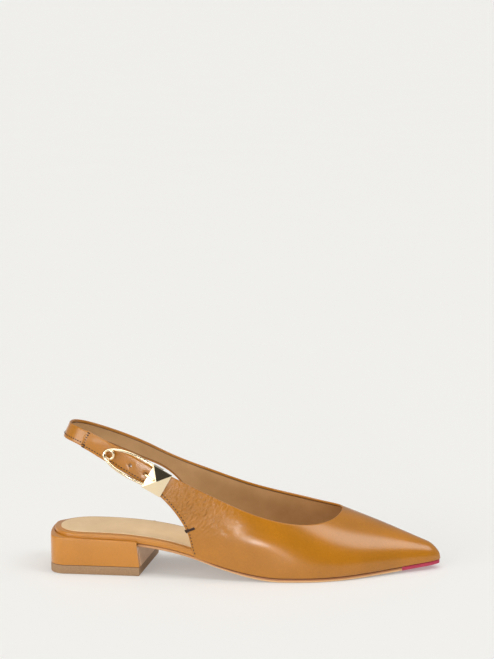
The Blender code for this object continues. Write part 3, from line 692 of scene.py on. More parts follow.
def smooth_leather(name, dark, light, pore, roughness):
    """A plainly dyed leather with no glaze: matt and faintly clouded, with pores of the given
    size in metres. Real ones are 0.1 to 0.2 mm, and they are drawn larger so that they show."""
    made, tree, shader = new_material(name, light)
    place = add(tree, "ShaderNodeTexCoord").outputs["Object"]
    clouds = add(tree, "ShaderNodeTexNoise",
                 {"Vector": place, "Scale": 60.0, "Detail": 4.0, "Roughness": 0.6})
    tone = add(tree, "ShaderNodeValToRGB", {"Fac": clouds.outputs["Fac"]})
    set_stops(tone.color_ramp, (0.3, dark), (0.7, light))
    # painted shade: a free edge, where one is marked, is painted dark to stand for the shadow along
    # the lining's edge
    edge = add(tree, "ShaderNodeAttribute", attribute_name="edge").outputs["Fac"]
    edge_shade = add(tree, "ShaderNodeMix", data_type="RGBA", blend_type="MIX")
    tree.links.new(edge, edge_shade.inputs[0])
    tree.links.new(tone.outputs["Color"], edge_shade.inputs[6])
    edge_shade.inputs[7].default_value = linear("#4A2E16")
    tree.links.new(edge_shade.outputs[2], shader.inputs["Base Color"])
    pores = add(tree, "ShaderNodeTexNoise",
                {"Vector": place, "Scale": 1.0 / pore, "Detail": 3.0, "Roughness": 0.6})
    relief = add(tree, "ShaderNodeBump",
                 {"Height": pores.outputs["Fac"], "Strength": 0.25, "Distance": 0.1 * pore})
    tree.links.new(relief.outputs["Normal"], shader.inputs["Normal"])
    rough = add(tree, "ShaderNodeMapRange",
                {"Value": pores.outputs["Fac"], "To Min": roughness - 0.06,
                 "To Max": roughness + 0.06})
    tree.links.new(rough.outputs["Result"], shader.inputs["Roughness"])
    shader.inputs["IOR"].default_value = 1.5
    return made


def sole_leather():
    """Sole leather, rolled and stained taupe below, its trimmed edge left light and waxed; on the
    edge a painted highlight lightens the lower round, and painted shade darkens it towards the top
    for the shadow in the groove where it meets the upper."""
    made, tree, shader = new_material("taupe_sole_leather", "#B58F68")
    place = add(tree, "ShaderNodeTexCoord").outputs["Object"]
    up = add(tree, "ShaderNodeAttribute", attribute_name="layer").outputs["Fac"]
    tone = add(tree, "ShaderNodeValToRGB", {"Fac": up})
    # painted light on the edge: a painted highlight near 0.14 on the lower round, painted shade
    # from 0.55 up for the groove under the upper
    set_stops(tone.color_ramp,
              (0.0, "#A5815C"), (0.06, "#A5815C"), (0.14, "#E6BC8A"), (0.42, "#DDAA74"),
              (0.55, "#B87C4C"), (0.85, "#9A623A"), (0.95, "#74482A"), (1.0, "#8A6846"))
    tree.links.new(tone.outputs["Color"], shader.inputs["Base Color"])
    # pores of 0.2 mm, drawn at 0.7 mm so that they show
    pores = add(tree, "ShaderNodeTexNoise",
                {"Vector": place, "Scale": 1500.0, "Detail": 3.0, "Roughness": 0.6})
    relief = add(tree, "ShaderNodeBump",
                 {"Height": pores.outputs["Fac"], "Strength": 0.25, "Distance": 0.00006})
    tree.links.new(relief.outputs["Normal"], shader.inputs["Normal"])
    shader.inputs["Roughness"].default_value = 0.42
    shader.inputs["IOR"].default_value = 1.5
    return made


def gold_plate():
    """Steel cast and polished, then plated in pale gold: a near mirror whose polish varies."""
    made, tree, shader = new_material("polished_pale_gold", "#F8E4BF")
    place = add(tree, "ShaderNodeTexCoord").outputs["Object"]
    # the polish varies over about 1 mm
    wear = add(tree, "ShaderNodeTexNoise", {"Vector": place, "Scale": 900.0, "Detail": 2.0})
    rough = add(tree, "ShaderNodeMapRange",
                {"Value": wear.outputs["Fac"], "To Min": 0.07, "To Max": 0.14})
    tree.links.new(rough.outputs["Result"], shader.inputs["Roughness"])
    shader.inputs["Metallic"].default_value = 1.0
    return made


def sewing_thread():
    """Bonded polyester thread, twisted: satin, with fine slanting plies."""
    made, tree, shader = new_material("bonded_brown_thread", "#38200E")
    place = add(tree, "ShaderNodeTexCoord").outputs["Object"]
    # the plies repeat about every 0.2 mm
    ply = add(tree, "ShaderNodeTexWave", {"Vector": place, "Scale": 1400.0, "Distortion": 1.0})
    relief = add(tree, "ShaderNodeBump",
                 {"Height": ply.outputs["Fac"], "Strength": 0.3, "Distance": 0.00004})
    tree.links.new(relief.outputs["Normal"], shader.inputs["Normal"])
    shader.inputs["Roughness"].default_value = 0.55
    return made


def lift_rubber():
    """Moulded rubber, buffed flush with the heel: matt, with a faint speckle."""
    made, tree, shader = new_material("buffed_taupe_rubber", "#A98763")
    place = add(tree, "ShaderNodeTexCoord").outputs["Object"]
    # buffing leaves specks of 0.2 mm, drawn at 0.8 mm so that they show
    speckle = add(tree, "ShaderNodeTexNoise", {"Vector": place, "Scale": 1300.0, "Detail": 3.0})
    tone = add(tree, "ShaderNodeValToRGB", {"Fac": speckle.outputs["Fac"]})
    set_stops(tone.color_ramp, (0.3, "#967452"), (0.7, "#AA8864"))
    tree.links.new(tone.outputs["Color"], shader.inputs["Base Color"])
    relief = add(tree, "ShaderNodeBump",
                 {"Height": speckle.outputs["Fac"], "Strength": 0.3, "Distance": 0.00006})
    tree.links.new(relief.outputs["Normal"], shader.inputs["Normal"])
    shader.inputs["Roughness"].default_value = 0.62
    return made


CALF = glazed_calf("glazed_tan_calf", "#AA6C0A", "#BC770E")
# painted light: the same calf painted lighter on the heel and the insole's edge, so that they look
# as brightly lit as the quarter; the leather itself is the same
CALF_PAINTED_LIGHTER = glazed_calf("glazed_tan_calf_painted_lighter", "#C07C20", "#CA8428")
LINING = smooth_leather("taupe_lining_leather", "#C09664", "#CEA372", 0.0008, 0.60)
SOCK = smooth_leather("beige_sock_leather", "#DCBC90", "#E8CAA0", 0.0007, 0.55)
SOLE = sole_leather()
# painted light: the breast leather is painted much lighter than the taupe sole leather it is, to
# lift the shade under the heel's breast
PANEL_PAINTED_LIGHTER = smooth_leather("taupe_breast_leather_painted_lighter", "#DEB48A", "#E8C098", 0.0006, 0.48)
RASPBERRY = smooth_leather("raspberry_sole_leather", "#B02E4C", "#C43B58", 0.0006, 0.45)
RUBBER = lift_rubber()
GOLD = gold_plate()
YARN = sewing_thread()


# Meshes
def placed(name, data):
    """A new object in the scene."""
    made = bpy.data.objects.new(name, data)
    bpy.context.scene.collection.objects.link(made)
    return made


def outward(mesh, clean=False):
    """The same closed mesh, its double points joined and its faces pointing out."""
    bm = bmesh.new()
    bm.from_mesh(mesh)
    bmesh.ops.remove_doubles(bm, verts=bm.verts, dist=1e-6)
    if clean:
        bmesh.ops.dissolve_degenerate(bm, edges=bm.edges, dist=1e-7)
    bmesh.ops.recalc_face_normals(bm, faces=bm.faces)
    bm.to_mesh(mesh)
    bm.free()
    return mesh


def finished(name, mesh, material, replaced=(), sharp=None):
    """The mesh as a piece of the shoe: closed, facing out, with its material and its place."""
    outward(mesh, clean=True)
    mesh.materials.clear()
    mesh.materials.append(material)
    mesh.shade_smooth()
    if sharp is not None:
        mesh.set_sharp_from_angle(angle=math.radians(sharp))
    piece = placed(name, mesh)
    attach(piece, "root")
    if replaced:
        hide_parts(*replaced)


def mesh_of(name, points, faces, edges=()):
    mesh = bpy.data.meshes.new(name)
    plain = [tuple(map(float, point)) for point in points]
    mesh.from_pydata(plain, edges, [tuple(map(int, face)) for face in faces])
    return mesh


def loft(name, rings):
    """A closed skin over rings of equal count, with a flat cap on the first and the last."""
    count = len(rings[0])
    points = [point for ring in rings for point in ring]
    faces = []
    for i in range(len(rings) - 1):
        for j in range(count):
            k = (j + 1) % count
            faces.append((i * count + j, i * count + k, (i + 1) * count + k, (i + 1) * count + j))
    faces.append(tuple(range(count)))
    faces.append(tuple(range((len(rings) - 1) * count, len(rings) * count)))
    return mesh_of(name, points, faces)


def baked(carrier):
    """The plain mesh of an object after its modifiers; the object itself goes."""
    shaped = carrier.evaluated_get(bpy.context.evaluated_depsgraph_get())
    result = bpy.data.meshes.new_from_object(shaped)
    bpy.data.objects.remove(carrier)
    return result


def applied(mesh, kind, **settings):
    """The plain mesh after a modifier."""
    carrier = placed("carrier", mesh)
    modifier = carrier.modifiers.new(kind, kind)
    for name, value in settings.items():
        setattr(modifier, name, value)
    return baked(carrier)


def cut(mesh, cutter_mesh):
    """The mesh less a closed cutter."""
    cutter = placed("cutter", cutter_mesh)
    result = applied(mesh, "BOOLEAN", object=cutter, solver="EXACT", operation="DIFFERENCE")
    bpy.data.objects.remove(cutter)
    return result


def mark(mesh, name, values):
    """A number at every point of the mesh, for its material."""
    marks = mesh.attributes.get(name) or mesh.attributes.new(name, "FLOAT", "POINT")
    marks.data.foreach_set("value", np.array(values, np.float32))


def layer(name, outline, underside, thickness, edge_round, start, end, count):
    """A sole-like layer: the same section with rounded edges, at places along the outline."""
    rings, shares = [], []
    turns = np.radians([0.0, 22.5, 45.0, 67.5, 90.0])
    for x in spread_ends(start, end, count):
        outer, inner = float(outline.edge(OUTER, x)), float(outline.edge(INNER, x))
        low, thick = float(underside(x)), float(thickness(x))
        curl = min(edge_round, 0.45 * (inner - outer), 0.45 * thick)
        ring = []
        for y, z, turn_y, turn_z, order in (
            (inner - curl, low + curl, 1, -1, turns[::-1]),
            (inner - curl, low + thick - curl, 1, 1, turns),
            (outer + curl, low + thick - curl, -1, 1, turns[::-1]),
            (outer + curl, low + curl, -1, -1, turns),
        ):
            for turn in order:
                aside, raised = curl * math.cos(turn), curl * math.sin(turn)
                ring.append((x, y + turn_y * aside, z + turn_z * raised))
        shares += [(point[2] - low) / thick for point in ring]
        rings.append(ring)
    mesh = loft(name, rings)
    mark(mesh, "layer", shares)
    return mesh


class Sheet:
    """A sheet of leather: points on a grid, the outward directions and its border as a loop."""

    def __init__(self, points, quads, grids, loop, free, thickness, level):
        self.points = np.array(points)
        self.quads, self.grids = quads, grids
        self.loop, self.free = np.array(loop), np.array(free, float)
        self.thickness = np.array(thickness)
        self.level = np.array(level)
        self.flex = np.zeros(len(self.points))
        self.find_normals()

    def find_normals(self):
        mesh = mesh_of("sheet", self.points, self.quads)
        normals = np.zeros(3 * len(self.points))
        mesh.vertex_normals.foreach_get("vector", normals)
        bpy.data.meshes.remove(mesh)
        self.normals = normals.reshape(-1, 3)
        self.normals[self.level, 2] = 0.0
        self.normals = unit(self.normals)

    def push(self, amount):
        """Move every point out by its own amount."""
        self.points = self.points + self.normals * amount[:, None]
        self.find_normals()

    def shell(self, name, top, bottom, rings=4):
        """A closed skin between two depths, with rounded free edges."""
        upper = self.points - self.normals * (self.thickness * top)[:, None]
        under = self.points - self.normals * (self.thickness * bottom)[:, None]
        count = len(self.points)
        border = self.points[self.loop]
        tangent = unit(np.roll(border, -1, 0) - np.roll(border, 1, 0))
        side = unit(np.cross(tangent, self.normals[self.loop]))
        radius = 0.5 * self.thickness[self.loop] * (bottom - top)
        faces = [tuple(q) for q in self.quads]
        faces += [tuple(count + i for i in reversed(q)) for q in self.quads]
        points = [upper, under]
        last = self.loop
        middle = 0.5 * (upper[self.loop] + under[self.loop])
        for k in range(1, rings):
            turn = math.pi * k / rings
            out = side * (self.free * radius * math.sin(turn))[:, None]
            lift = self.normals[self.loop] * (radius * math.cos(turn))[:, None]
            points.append(middle + out + lift)
            new = 2 * count + (k - 1) * len(self.loop) + np.arange(len(self.loop))
            faces += self.band(last, new)
            last = new
        faces += self.band(last, self.loop + count)
        mesh = mesh_of(name, np.vstack(points), faces)
        # the free border is marked edge, along which the lining's material paints shade
        edge = np.zeros(count)
        edge[self.loop] = self.free
        for label, values in (("flex", self.flex), ("edge", edge)):
            rims = np.tile(values[self.loop], rings - 1)
            mark(mesh, label, np.concatenate([values, values, rims]))
        return mesh

    @staticmethod
    def band(first, second):
        """Faces between two closed loops of equal count."""
        count = len(first)
        return [(first[i], first[(i + 1) % count], second[(i + 1) % count], second[i])
                for i in range(count)]

    def line(self, side, first, last, inset):
        """Points and directions that run beside the low edge, from one column to another."""
        result = []
        for column in self.grids[side][first : last + 1]:
            points = self.points[column]
            steps = np.linalg.norm(np.diff(points, axis=0), axis=1)
            run = np.concatenate([[0.0], np.cumsum(steps)])
            spot = [np.interp(inset, run, points[:, k]) for k in range(3)]
            facing = [np.interp(inset, run, self.normals[column][:, k]) for k in range(3)]
            result.append((np.array(spot), unit(facing)))
        return result

    def over(self, x, z, side):
        """The sheet's point and direction at a place seen from the side."""
        index = self.grids[side].ravel()
        near = index[np.argmin((self.points[index, 0] - x) ** 2 + (self.points[index, 2] - z) ** 2)]
        point, facing = self.points[near], self.normals[near]
        y = point[1] - ((x - point[0]) * facing[0] + (z - point[2]) * facing[2]) / facing[1]
        return np.array([x, y, z]), facing


def crease_depth(x, z):
    """How far the creases and dents press the leather in at a place, seen from the side."""
    depth = np.zeros_like(x)
    for x_low, z_low, x_high, z_high, deep, spread in CREASES:
        run = np.array([x_high - x_low, z_high - z_low])
        length = np.hypot(*run)
        run /= length
        along = ((x - x_low) * run[0] + (z - z_low) * run[1]) / length
        # the trough wanders a little, as leather does
        wander = 0.0006 * np.sin(7.0 * along + 900.0 * x_low)
        across = -(x - x_low) * run[1] + (z - z_low) * run[0] + wander
        fade = ease(along, -0.15, 0.25) * (1.0 - ease(along, 0.55, 1.2))
        trough = np.exp(-((across / spread) ** 2))
        lip = np.exp(-(((across - 1.9 * spread) / spread) ** 2))
        depth += deep * fade * (trough - 0.55 * lip)
    for x_mid, z_mid, reach_along, reach_across, degrees, deep in DENTS:
        turn = math.radians(degrees)
        along = (x - x_mid) * math.cos(turn) + (z - z_mid) * math.sin(turn)
        across = (z - z_mid) * math.cos(turn) - (x - x_mid) * math.sin(turn)
        depth += deep * np.exp(-((along / reach_along) ** 2) - (across / reach_across) ** 2)
    return depth


def upper_sheet(margin):
    """The upper's outer face with its inner quarter running on into the strap."""
    throat = THROAT + margin
    shares = np.linspace(0.0, 1.0, WAYS + 1)
    rows = throat + (TOE_TIP - throat) * np.sin(np.linspace(0.5 * math.pi, 0.0, VAMP_ROWS + 1))
    points, thickness, level, grids, opens = [], [], [], {}, {}
    for side in (OUTER, INNER):
        grid, free_low = [], []
        for j, x in enumerate(rows):
            new = section(np.full(WAYS + 1, x), shares, side)
            start = len(points)
            ids = list(range(start, start + WAYS + 1))
            if side == INNER:
                ids[-1] = grids[OUTER][j][-1]
            if j == 0:
                tip = 0 if side == INNER else start
                ids = [tip] * (WAYS + 1)
                new = new[:1] if side == OUTER else new[:0]
            else:
                new = new if side == OUTER else new[:-1]
            points += list(new)
            thickness += [WALL] * len(new)
            level += [k == 0 for k in range(len(new))]
            grid.append(ids)
            free_low.append(False)
        for x_low, way_low, x_top, way_top, step in quarter_columns(side, throat):
            xs = x_low + (x_top - x_low) * shares
            full = section(xs, way_low + (way_top - way_low) * shares, side)
            length = float(np.sum(np.linalg.norm(np.diff(full, axis=0), axis=1)))
            # the free edges are drawn in by the margin, for their round comes on top
            trim = margin * float(ease(step, 0.0, 0.25)) / length
            open_low = way_low > 0.0
            trim_low = margin * float(ease(way_low, 0.0, 0.06)) / length
            used = trim_low + (1.0 - trim - trim_low) * shares
            ways = way_low + (way_top - way_low) * used
            new = section(x_low + (x_top - x_low) * used, ways, side)
            start = len(points)
            points += list(new)
            thickness += [WALL] * len(new)
            level += [k == 0 and not open_low for k in range(len(new))]
            grid.append(list(range(start, start + WAYS + 1)))
            free_low.append(open_low)
        if side == INNER:
            first, last = STRAP.length - TAIL_STEP, SEAM - SLING_UNDER_END
            for along in np.linspace(first, last, SLING_COLUMNS):
                half = strap_half_width(max(along, SEAM)) - margin
                thicker = float(ease(STRAP.length - along, 0.0, SLING_THICKENS))
                thick = WALL + (STRAP_THICKNESS - WALL) * thicker
                start = len(points)
                ups = np.linspace(-half, half, WAYS + 1)
                points += [STRAP.point(along, up, 0.5 * thick) for up in ups]
                thickness += [thick] * (WAYS + 1)
                level += [False] * (WAYS + 1)
                grid.append(list(range(start, start + WAYS + 1)))
                free_low.append(True)
        grids[side], opens[side] = np.array(grid), free_low
    quads = []
    for side, grid in grids.items():
        for j in range(len(grid) - 1):
            for k in range(WAYS):
                quad = [grid[j][k], grid[j + 1][k], grid[j + 1][k + 1], grid[j][k + 1]]
                quad = list(dict.fromkeys(quad))
                quads.append(quad if side == INNER else quad[::-1])
    outer, inner = grids[OUTER], grids[INNER]
    rims = (
        # points of the border, and which of them are free edges
        (outer[:VAMP_ROWS:-1, -1], 1.0),
        (inner[VAMP_ROWS:, -1], 1.0),
        (inner[-1, WAYS - 1 : 0 : -1], 0.0),
        (inner[::-1, 0], opens[INNER][::-1]),
        (outer[1:, 0], opens[OUTER][1:]),
        (outer[-1, 1:WAYS], 0.0),
    )
    loop = np.concatenate([ids for ids, _ in rims])
    free = np.concatenate([np.ones(len(ids)) * np.array(share, float) for ids, share in rims])
    sheet = Sheet(points, quads, grids, loop, free, thickness, level)
    on_outer = np.zeros(len(points), bool)
    on_outer[outer.ravel()] = True
    x, z = sheet.points[:, 0], sheet.points[:, 2]
    sheet.push(-crease_depth(x, z) * on_outer)
    away = np.hypot((x - FLEX_X) / FLEX_LONG, (z - FLEX_Z) / FLEX_HIGH)
    sheet.flex = np.where(on_outer, np.exp(-(away**2)), 0.0)
    return sheet


def strap_end_sheet(margin):
    """The padded end of the strap, from the buckle's head to the seam, which it overlaps."""
    points, thickness, grid = [], [], []
    places = np.linspace(GAP, SEAM, END_ROWS)
    for along in places:
        half = strap_half_width(along) - margin
        # the end swells over the sling's end, and is pinched where the needle goes through
        swell = ease(SEAM - along, 0.0, LAP_PINCH) * (1.0 - ease(SEAM - along, *LAP_SWELL_FADES))
        start = len(points)
        for up in np.linspace(-half, half, END_WAYS + 1):
            crown = 1.0 - (up / half) ** 2
            near = 0.0
            for k in range(HOLE_COUNT):
                away = (along - HOLE_FROM_HEAD - k * HOLE_PITCH) ** 2 + up**2
                near += math.exp(-away / HOLE_SINK_REACH**2)
            padding = (PADDING + LAP_SWELL * float(swell)) * crown - END_SINK - HOLE_SINK * near
            points.append(STRAP.point(along, up, 0.5 * STRAP_END_THICKNESS + padding))
            thickness.append(STRAP_END_THICKNESS + padding)
        grid.append(list(range(start, start + END_WAYS + 1)))
    grid = np.array(grid)
    quads = [(grid[j][k], grid[j][k + 1], grid[j + 1][k + 1], grid[j + 1][k])
             for j in range(END_ROWS - 1) for k in range(END_WAYS)]
    loop = [*grid[:, 0], *grid[-1][1:-1], *grid[::-1, -1], *grid[0][-2:0:-1]]
    ends = END_WAYS - 1
    free = [1.0] * END_ROWS + [0.6] * ends + [1.0] * END_ROWS + [0.0] * ends
    sheet = Sheet(points, quads, {OUTER: grid}, loop, free, thickness, [False] * len(points))
    middle = END_ROWS // 2
    return faced(sheet, grid[middle][END_WAYS // 2], STRAP.frame(places[middle])[3])


def faced(sheet, index, facing):
    """The sheet with its directions towards the given one, and its border walked so that the
    border's sides point away from the sheet."""
    if sheet.normals[index].dot(facing) < 0.0:
        sheet.quads = [quad[::-1] for quad in sheet.quads]
        sheet.find_normals()
    border = sheet.points[sheet.loop]
    tangent = unit(np.roll(border, -1, 0) - np.roll(border, 1, 0))
    side = np.cross(tangent, sheet.normals[sheet.loop])
    column = sheet.grids[OUTER][-20]
    at = int(np.where(sheet.loop == column[-1])[0][0])
    if side[at].dot(border[at] - sheet.points[column[-3]]) < 0.0:
        sheet.loop, sheet.free = sheet.loop[::-1], sheet.free[::-1]
    return sheet


# Stitches and wires, grown by rule along paths
def new_tree(name, **lengths):
    """A tree that takes a path, lengths and a material and gives a mesh: the tree, its inputs."""
    tree = bpy.data.node_groups.new(name, "GeometryNodeTree")
    face = tree.interface
    face.new_socket("Geometry", in_out="INPUT", socket_type="NodeSocketGeometry")
    for label, value in lengths.items():
        face.new_socket(label.replace("_", " "), in_out="INPUT",
                        socket_type="NodeSocketFloat").default_value = value
    face.new_socket("Material", in_out="INPUT", socket_type="NodeSocketMaterial")
    face.new_socket("Geometry", in_out="OUTPUT", socket_type="NodeSocketGeometry")
    return tree, add(tree, "NodeGroupInput").outputs


def end_tree(tree, given, geometry):
    """The tree's result: real geometry in the given material."""
    real = add(tree, "GeometryNodeRealizeInstances", {"Geometry": geometry}).outputs["Geometry"]
    dressed = add(tree, "GeometryNodeSetMaterial",
                  {"Geometry": real, "Material": given["Material"]}).outputs["Geometry"]
    add(tree, "NodeGroupOutput", {"Geometry": dressed})
    return tree


def stitch_tree():
    """Stitches along a path: a bowed bit of thread at every pitch, turned to the leather."""
    tree, given = new_tree("stitches_along_path", Pitch=STITCH_PITCH, Stitch_Length=STITCH_LENGTH,
                           Thread=THREAD, Turn=0.0)
    half, back, sunk, high, radius = (
        add(tree, "ShaderNodeMath", {0: given[label], 1: share}, operation="MULTIPLY").outputs[0]
        for label, share in (("Stitch Length", 0.5), ("Stitch Length", -0.5), ("Thread", -0.7),
                             ("Thread", 0.9), ("Thread", 0.5))
    )
    start = add(tree, "ShaderNodeCombineXYZ", {"X": back, "Z": sunk}).outputs[0]
    crest = add(tree, "ShaderNodeCombineXYZ", {"Z": high}).outputs[0]
    end = add(tree, "ShaderNodeCombineXYZ", {"X": half, "Z": sunk}).outputs[0]
    bow = add(tree, "GeometryNodeCurveQuadraticBezier",
              {"Resolution": 6, "Start": start, "Middle": crest, "End": end}).outputs["Curve"]
    ring = add(tree, "GeometryNodeCurvePrimitiveCircle",
               {"Resolution": 6, "Radius": radius}).outputs["Curve"]
    stitch = add(tree, "GeometryNodeCurveToMesh",
                 {"Curve": bow, "Profile Curve": ring, "Fill Caps": True}).outputs["Mesh"]
    smooth = add(tree, "GeometryNodeSetShadeSmooth", {"Geometry": stitch}).outputs["Geometry"]
    path = add(tree, "GeometryNodeMeshToCurve", {"Mesh": given["Geometry"]}).outputs["Curve"]
    spaced = add(tree, "GeometryNodeResampleCurve",
                 {"Curve": path, "Length": given["Pitch"]}, mode="LENGTH").outputs["Curve"]
    facing = add(tree, "GeometryNodeInputNamedAttribute",
                 {"Name": "facing"}, data_type="FLOAT_VECTOR").outputs[0]
    along = add(tree, "GeometryNodeInputTangent").outputs[0]
    upright = add(tree, "FunctionNodeAlignRotationToVector",
                  {"Vector": facing}, axis="Z").outputs[0]
    aimed = add(tree, "FunctionNodeAlignRotationToVector",
                {"Rotation": upright, "Vector": along}, axis="X", pivot_axis="Z").outputs[0]
    spin = add(tree, "ShaderNodeCombineXYZ", {"Z": given["Turn"]}).outputs[0]
    turned = add(tree, "FunctionNodeRotateRotation", {"Rotation": aimed}, rotation_space="LOCAL")
    tree.links.new(spin, turned.inputs["Rotate By"])
    sewn = add(tree, "GeometryNodeInstanceOnPoints",
               {"Points": spaced, "Instance": smooth, "Rotation": turned.outputs[0]}).outputs[0]
    return end_tree(tree, given, sewn)


def wire_tree():
    """A round wire bent along a path, closed at both ends."""
    tree, given = new_tree("wire_along_path", Wire=WIRE, Spacing=WIRE_STEP)
    path = add(tree, "GeometryNodeMeshToCurve", {"Mesh": given["Geometry"]}).outputs["Curve"]
    spaced = add(tree, "GeometryNodeResampleCurve",
                 {"Curve": path, "Length": given["Spacing"]}, mode="LENGTH").outputs["Curve"]
    radius = add(tree, "ShaderNodeMath",
                 {0: given["Wire"], 1: 0.5}, operation="MULTIPLY").outputs[0]
    ring = add(tree, "GeometryNodeCurvePrimitiveCircle",
               {"Resolution": 20, "Radius": radius}).outputs["Curve"]
    wire = add(tree, "GeometryNodeCurveToMesh",
               {"Curve": spaced, "Profile Curve": ring, "Fill Caps": True}).outputs["Mesh"]
    smooth = add(tree, "GeometryNodeSetShadeSmooth", {"Geometry": wire}).outputs["Geometry"]
    return end_tree(tree, given, smooth)


STITCHES = stitch_tree()
WIRES = wire_tree()


def grown(tree, path, **values):
    """The plain mesh that a tree makes along a path, with its named inputs set."""
    points = [point for point, _ in path]
    mesh = mesh_of("path", points, [], [(i, i + 1) for i in range(len(points) - 1)])
    facing = mesh.attributes.new("facing", "FLOAT_VECTOR", "POINT")
    facing.data.foreach_set("vector", np.array([away for _, away in path], float).ravel())
    carrier = placed("carrier", mesh)
    modifier = carrier.modifiers.new("nodes", "NODES")
    modifier.node_group = tree
    inputs = [item for item in tree.interface.items_tree if item.in_out == "INPUT"]
    sockets = {item.name: item.identifier for item in inputs}
    for name, value in values.items():
        modifier[sockets[name.replace("_", " ")]] = value
    return baked(carrier)


def sew(name, path, **values):
    mesh = grown(STITCHES, path, Material=YARN, **values)
    mesh.name = name
    piece = placed(name, mesh)
    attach(piece, "root")


# The pieces
def make_upper():
    """Calf outside with its turned edge, and the lining just below that edge inside."""
    margin = 0.5 * WALL * LEATHER_PART
    tail_out = np.array([0.0, OUTER, 0.0])
    leather, lining = upper_sheet(margin), upper_sheet(margin + LINING_BELOW_EDGE)
    for sheet in (leather, lining):
        faced(sheet, sheet.grids[OUTER][-10][WAYS // 2], tail_out)
    finished("upper_calf", leather.shell("upper_calf", 0.0, LEATHER_PART), CALF,
             ("upper", "sling_strap"))
    finished("upper_lining", lining.shell("upper_lining", LINING_PART, 1.0), LINING, ())
    return leather


def punch(along, width, off):
    """A round punch across the strap, off the strap's middle line down and towards the head."""
    middle, forward, across, outward_way = STRAP.frame(along)
    centre = middle - off * (forward + across)
    turns = np.linspace(0.0, 2.0 * math.pi, 33)[:-1]
    circle = [0.5 * width * (forward * math.cos(a) + across * math.sin(a)) for a in turns]
    rings = [[centre + outward_way * out + spoke for spoke in circle] for out in (-0.006, 0.006)]
    return outward(loft("hole", rings))


def make_strap_end():
    margin = 0.5 * STRAP_END_THICKNESS * LEATHER_PART
    leather, lining = strap_end_sheet(margin), strap_end_sheet(margin + LINING_BELOW_EDGE)
    mesh = outward(leather.shell("strap_end_calf", 0.0, LEATHER_PART, rings=6))
    inside = outward(lining.shell("strap_end_lining", LINING_PART, 1.0))
    for k in range(HOLE_COUNT):
        along = HOLE_FROM_HEAD + k * HOLE_PITCH
        mesh = cut(mesh, punch(along, PUNCHED_HOLE, 0.0))
        # the lining has closed in on its hole, which has drawn a little off the middle
        inside = cut(inside, punch(along, CLOSED_HOLE, CLOSED_HOLE_OFF))
    finished("strap_end_calf", mesh, CALF, ("strap_end",), sharp=50.0)
    finished("strap_end_lining", inside, LINING, (), sharp=50.0)
    return leather


def make_sole():
    def margin(x):
        out = ease(station_of(x), *SOLE_WIDENS)
        return -SOLE_UNDER_SEAT + (SOLE_UNDER_SEAT + SOLE_UNDER_UPPER) * out

    outline = LAST.grown(margin)
    back, tip = outline.ends()
    joint = tip - TIP_PIECE_LENGTH
    sole = layer("outsole_leather", outline, sole_underside, sole_thickness, SOLE_EDGE_ROUND,
                 back + END_CLEAR, joint - 0.5 * TIP_JOINT, 200)
    # under the insole's own edge the waist gets neither the painted groove shade nor the painted
    # highlight, so its edge keeps one tone
    shares = np.zeros(len(sole.vertices), np.float32)
    sole.attributes["layer"].data.foreach_get("value", shares)
    x = np.array([vertex.co.x for vertex in sole.vertices])
    plain = (1.0 - ease(station_of(x), *BARE_WAIST_ENDS)) * (shares > 0.1)
    mark(sole, "layer", shares + (0.48 - shares) * plain)
    finished("outsole_leather", sole, SOLE, ("outsole",), sharp=50.0)
    piece = layer("toe_tip_leather", outline, sole_underside, sole_thickness, SOLE_EDGE_ROUND,
                  joint + 0.5 * TIP_JOINT, tip - END_CLEAR, 70)
    finished("toe_tip_leather", piece, RASPBERRY, ("toe_tip",), sharp=50.0)


def make_insole():
    def margin(x):
        return -INSOLE_INSIDE_INSET * ease(station_of(x), *INSOLE_NARROWS)

    def under_board(x):
        return sole_top(x) + GAP

    def under_sock(x):
        return insole_top(x) + 0.00002

    def sock_thickness(x):
        return SOCK_THICKNESS

    board = LAST.grown(margin)
    back, tip = board.ends()
    mesh = layer("insole_cover", board, under_board, insole_thickness, INSOLE_EDGE_ROUND,
                 back + END_CLEAR, tip - END_CLEAR, 200)
    finished("insole_cover", mesh, CALF_PAINTED_LIGHTER, ("insole",), sharp=50.0)
    cover = board.grown(-SOCK_INSET)
    cover_back, _ = cover.ends()
    mesh = layer("sock_leather", cover, under_sock, sock_thickness, 0.45 * SOCK_THICKNESS,
                 cover_back + END_CLEAR, place_of(SOCK_END_SHARE), 160)
    finished("sock_leather", mesh, SOCK, ("sock",), sharp=50.0)


def heel_plan(lean, inset=0.0):
    """The heel's outline from above: a squared block with round back corners."""
    front = HEEL_FRONT + lean

    def run(side, back_y, front_y):
        """From the breast back along a side and round its corner."""
        front_x = front + side * 0.5 * BREAST_SKEW
        centre_x = HEEL_BACK + HEEL_BACK_BULGE + HEEL_CORNER
        centre_y = side * (back_y - HEEL_CORNER)
        arc = [(centre_x - HEEL_CORNER * math.sin(a), centre_y + side * HEEL_CORNER * math.cos(a))
               for a in np.radians(np.linspace(0.0, 90.0, 25))]
        x, y = arc[0]
        straight = [(front_x + (x - front_x) * s, side * front_y + (y - side * front_y) * s)
                    for s in np.linspace(0.0, 1.0, 9)[:-1]]
        return straight + arc

    points = run(OUTER, HEEL_OUTER_BACK, HEEL_OUTER_FRONT)
    inner_start = HEEL_INNER_BACK - HEEL_CORNER
    outer_start = HEEL_OUTER_BACK - HEEL_CORNER
    for share in np.linspace(0.0, 1.0, 17)[1:-1]:
        y = -outer_start + (outer_start + inner_start) * share
        points.append((HEEL_BACK + HEEL_BACK_BULGE * (2.0 * share - 1.0) ** 2, y))
    points += run(INNER, HEEL_INNER_BACK, HEEL_INNER_FRONT)[::-1]
    if not inset:
        return points
    middle = np.array([0.5 * (HEEL_BACK + HEEL_FRONT), 0.0])
    return [tuple(np.array(p) - inset * unit(np.array(p) - middle)) for p in points]


def rim_height(x):
    share = np.clip((x - HEEL_BACK) / (HEEL_FRONT - HEEL_BACK), 0.0, 1.0)
    return RIM_AT_BACK + (RIM_AT_BREAST - RIM_AT_BACK) * share


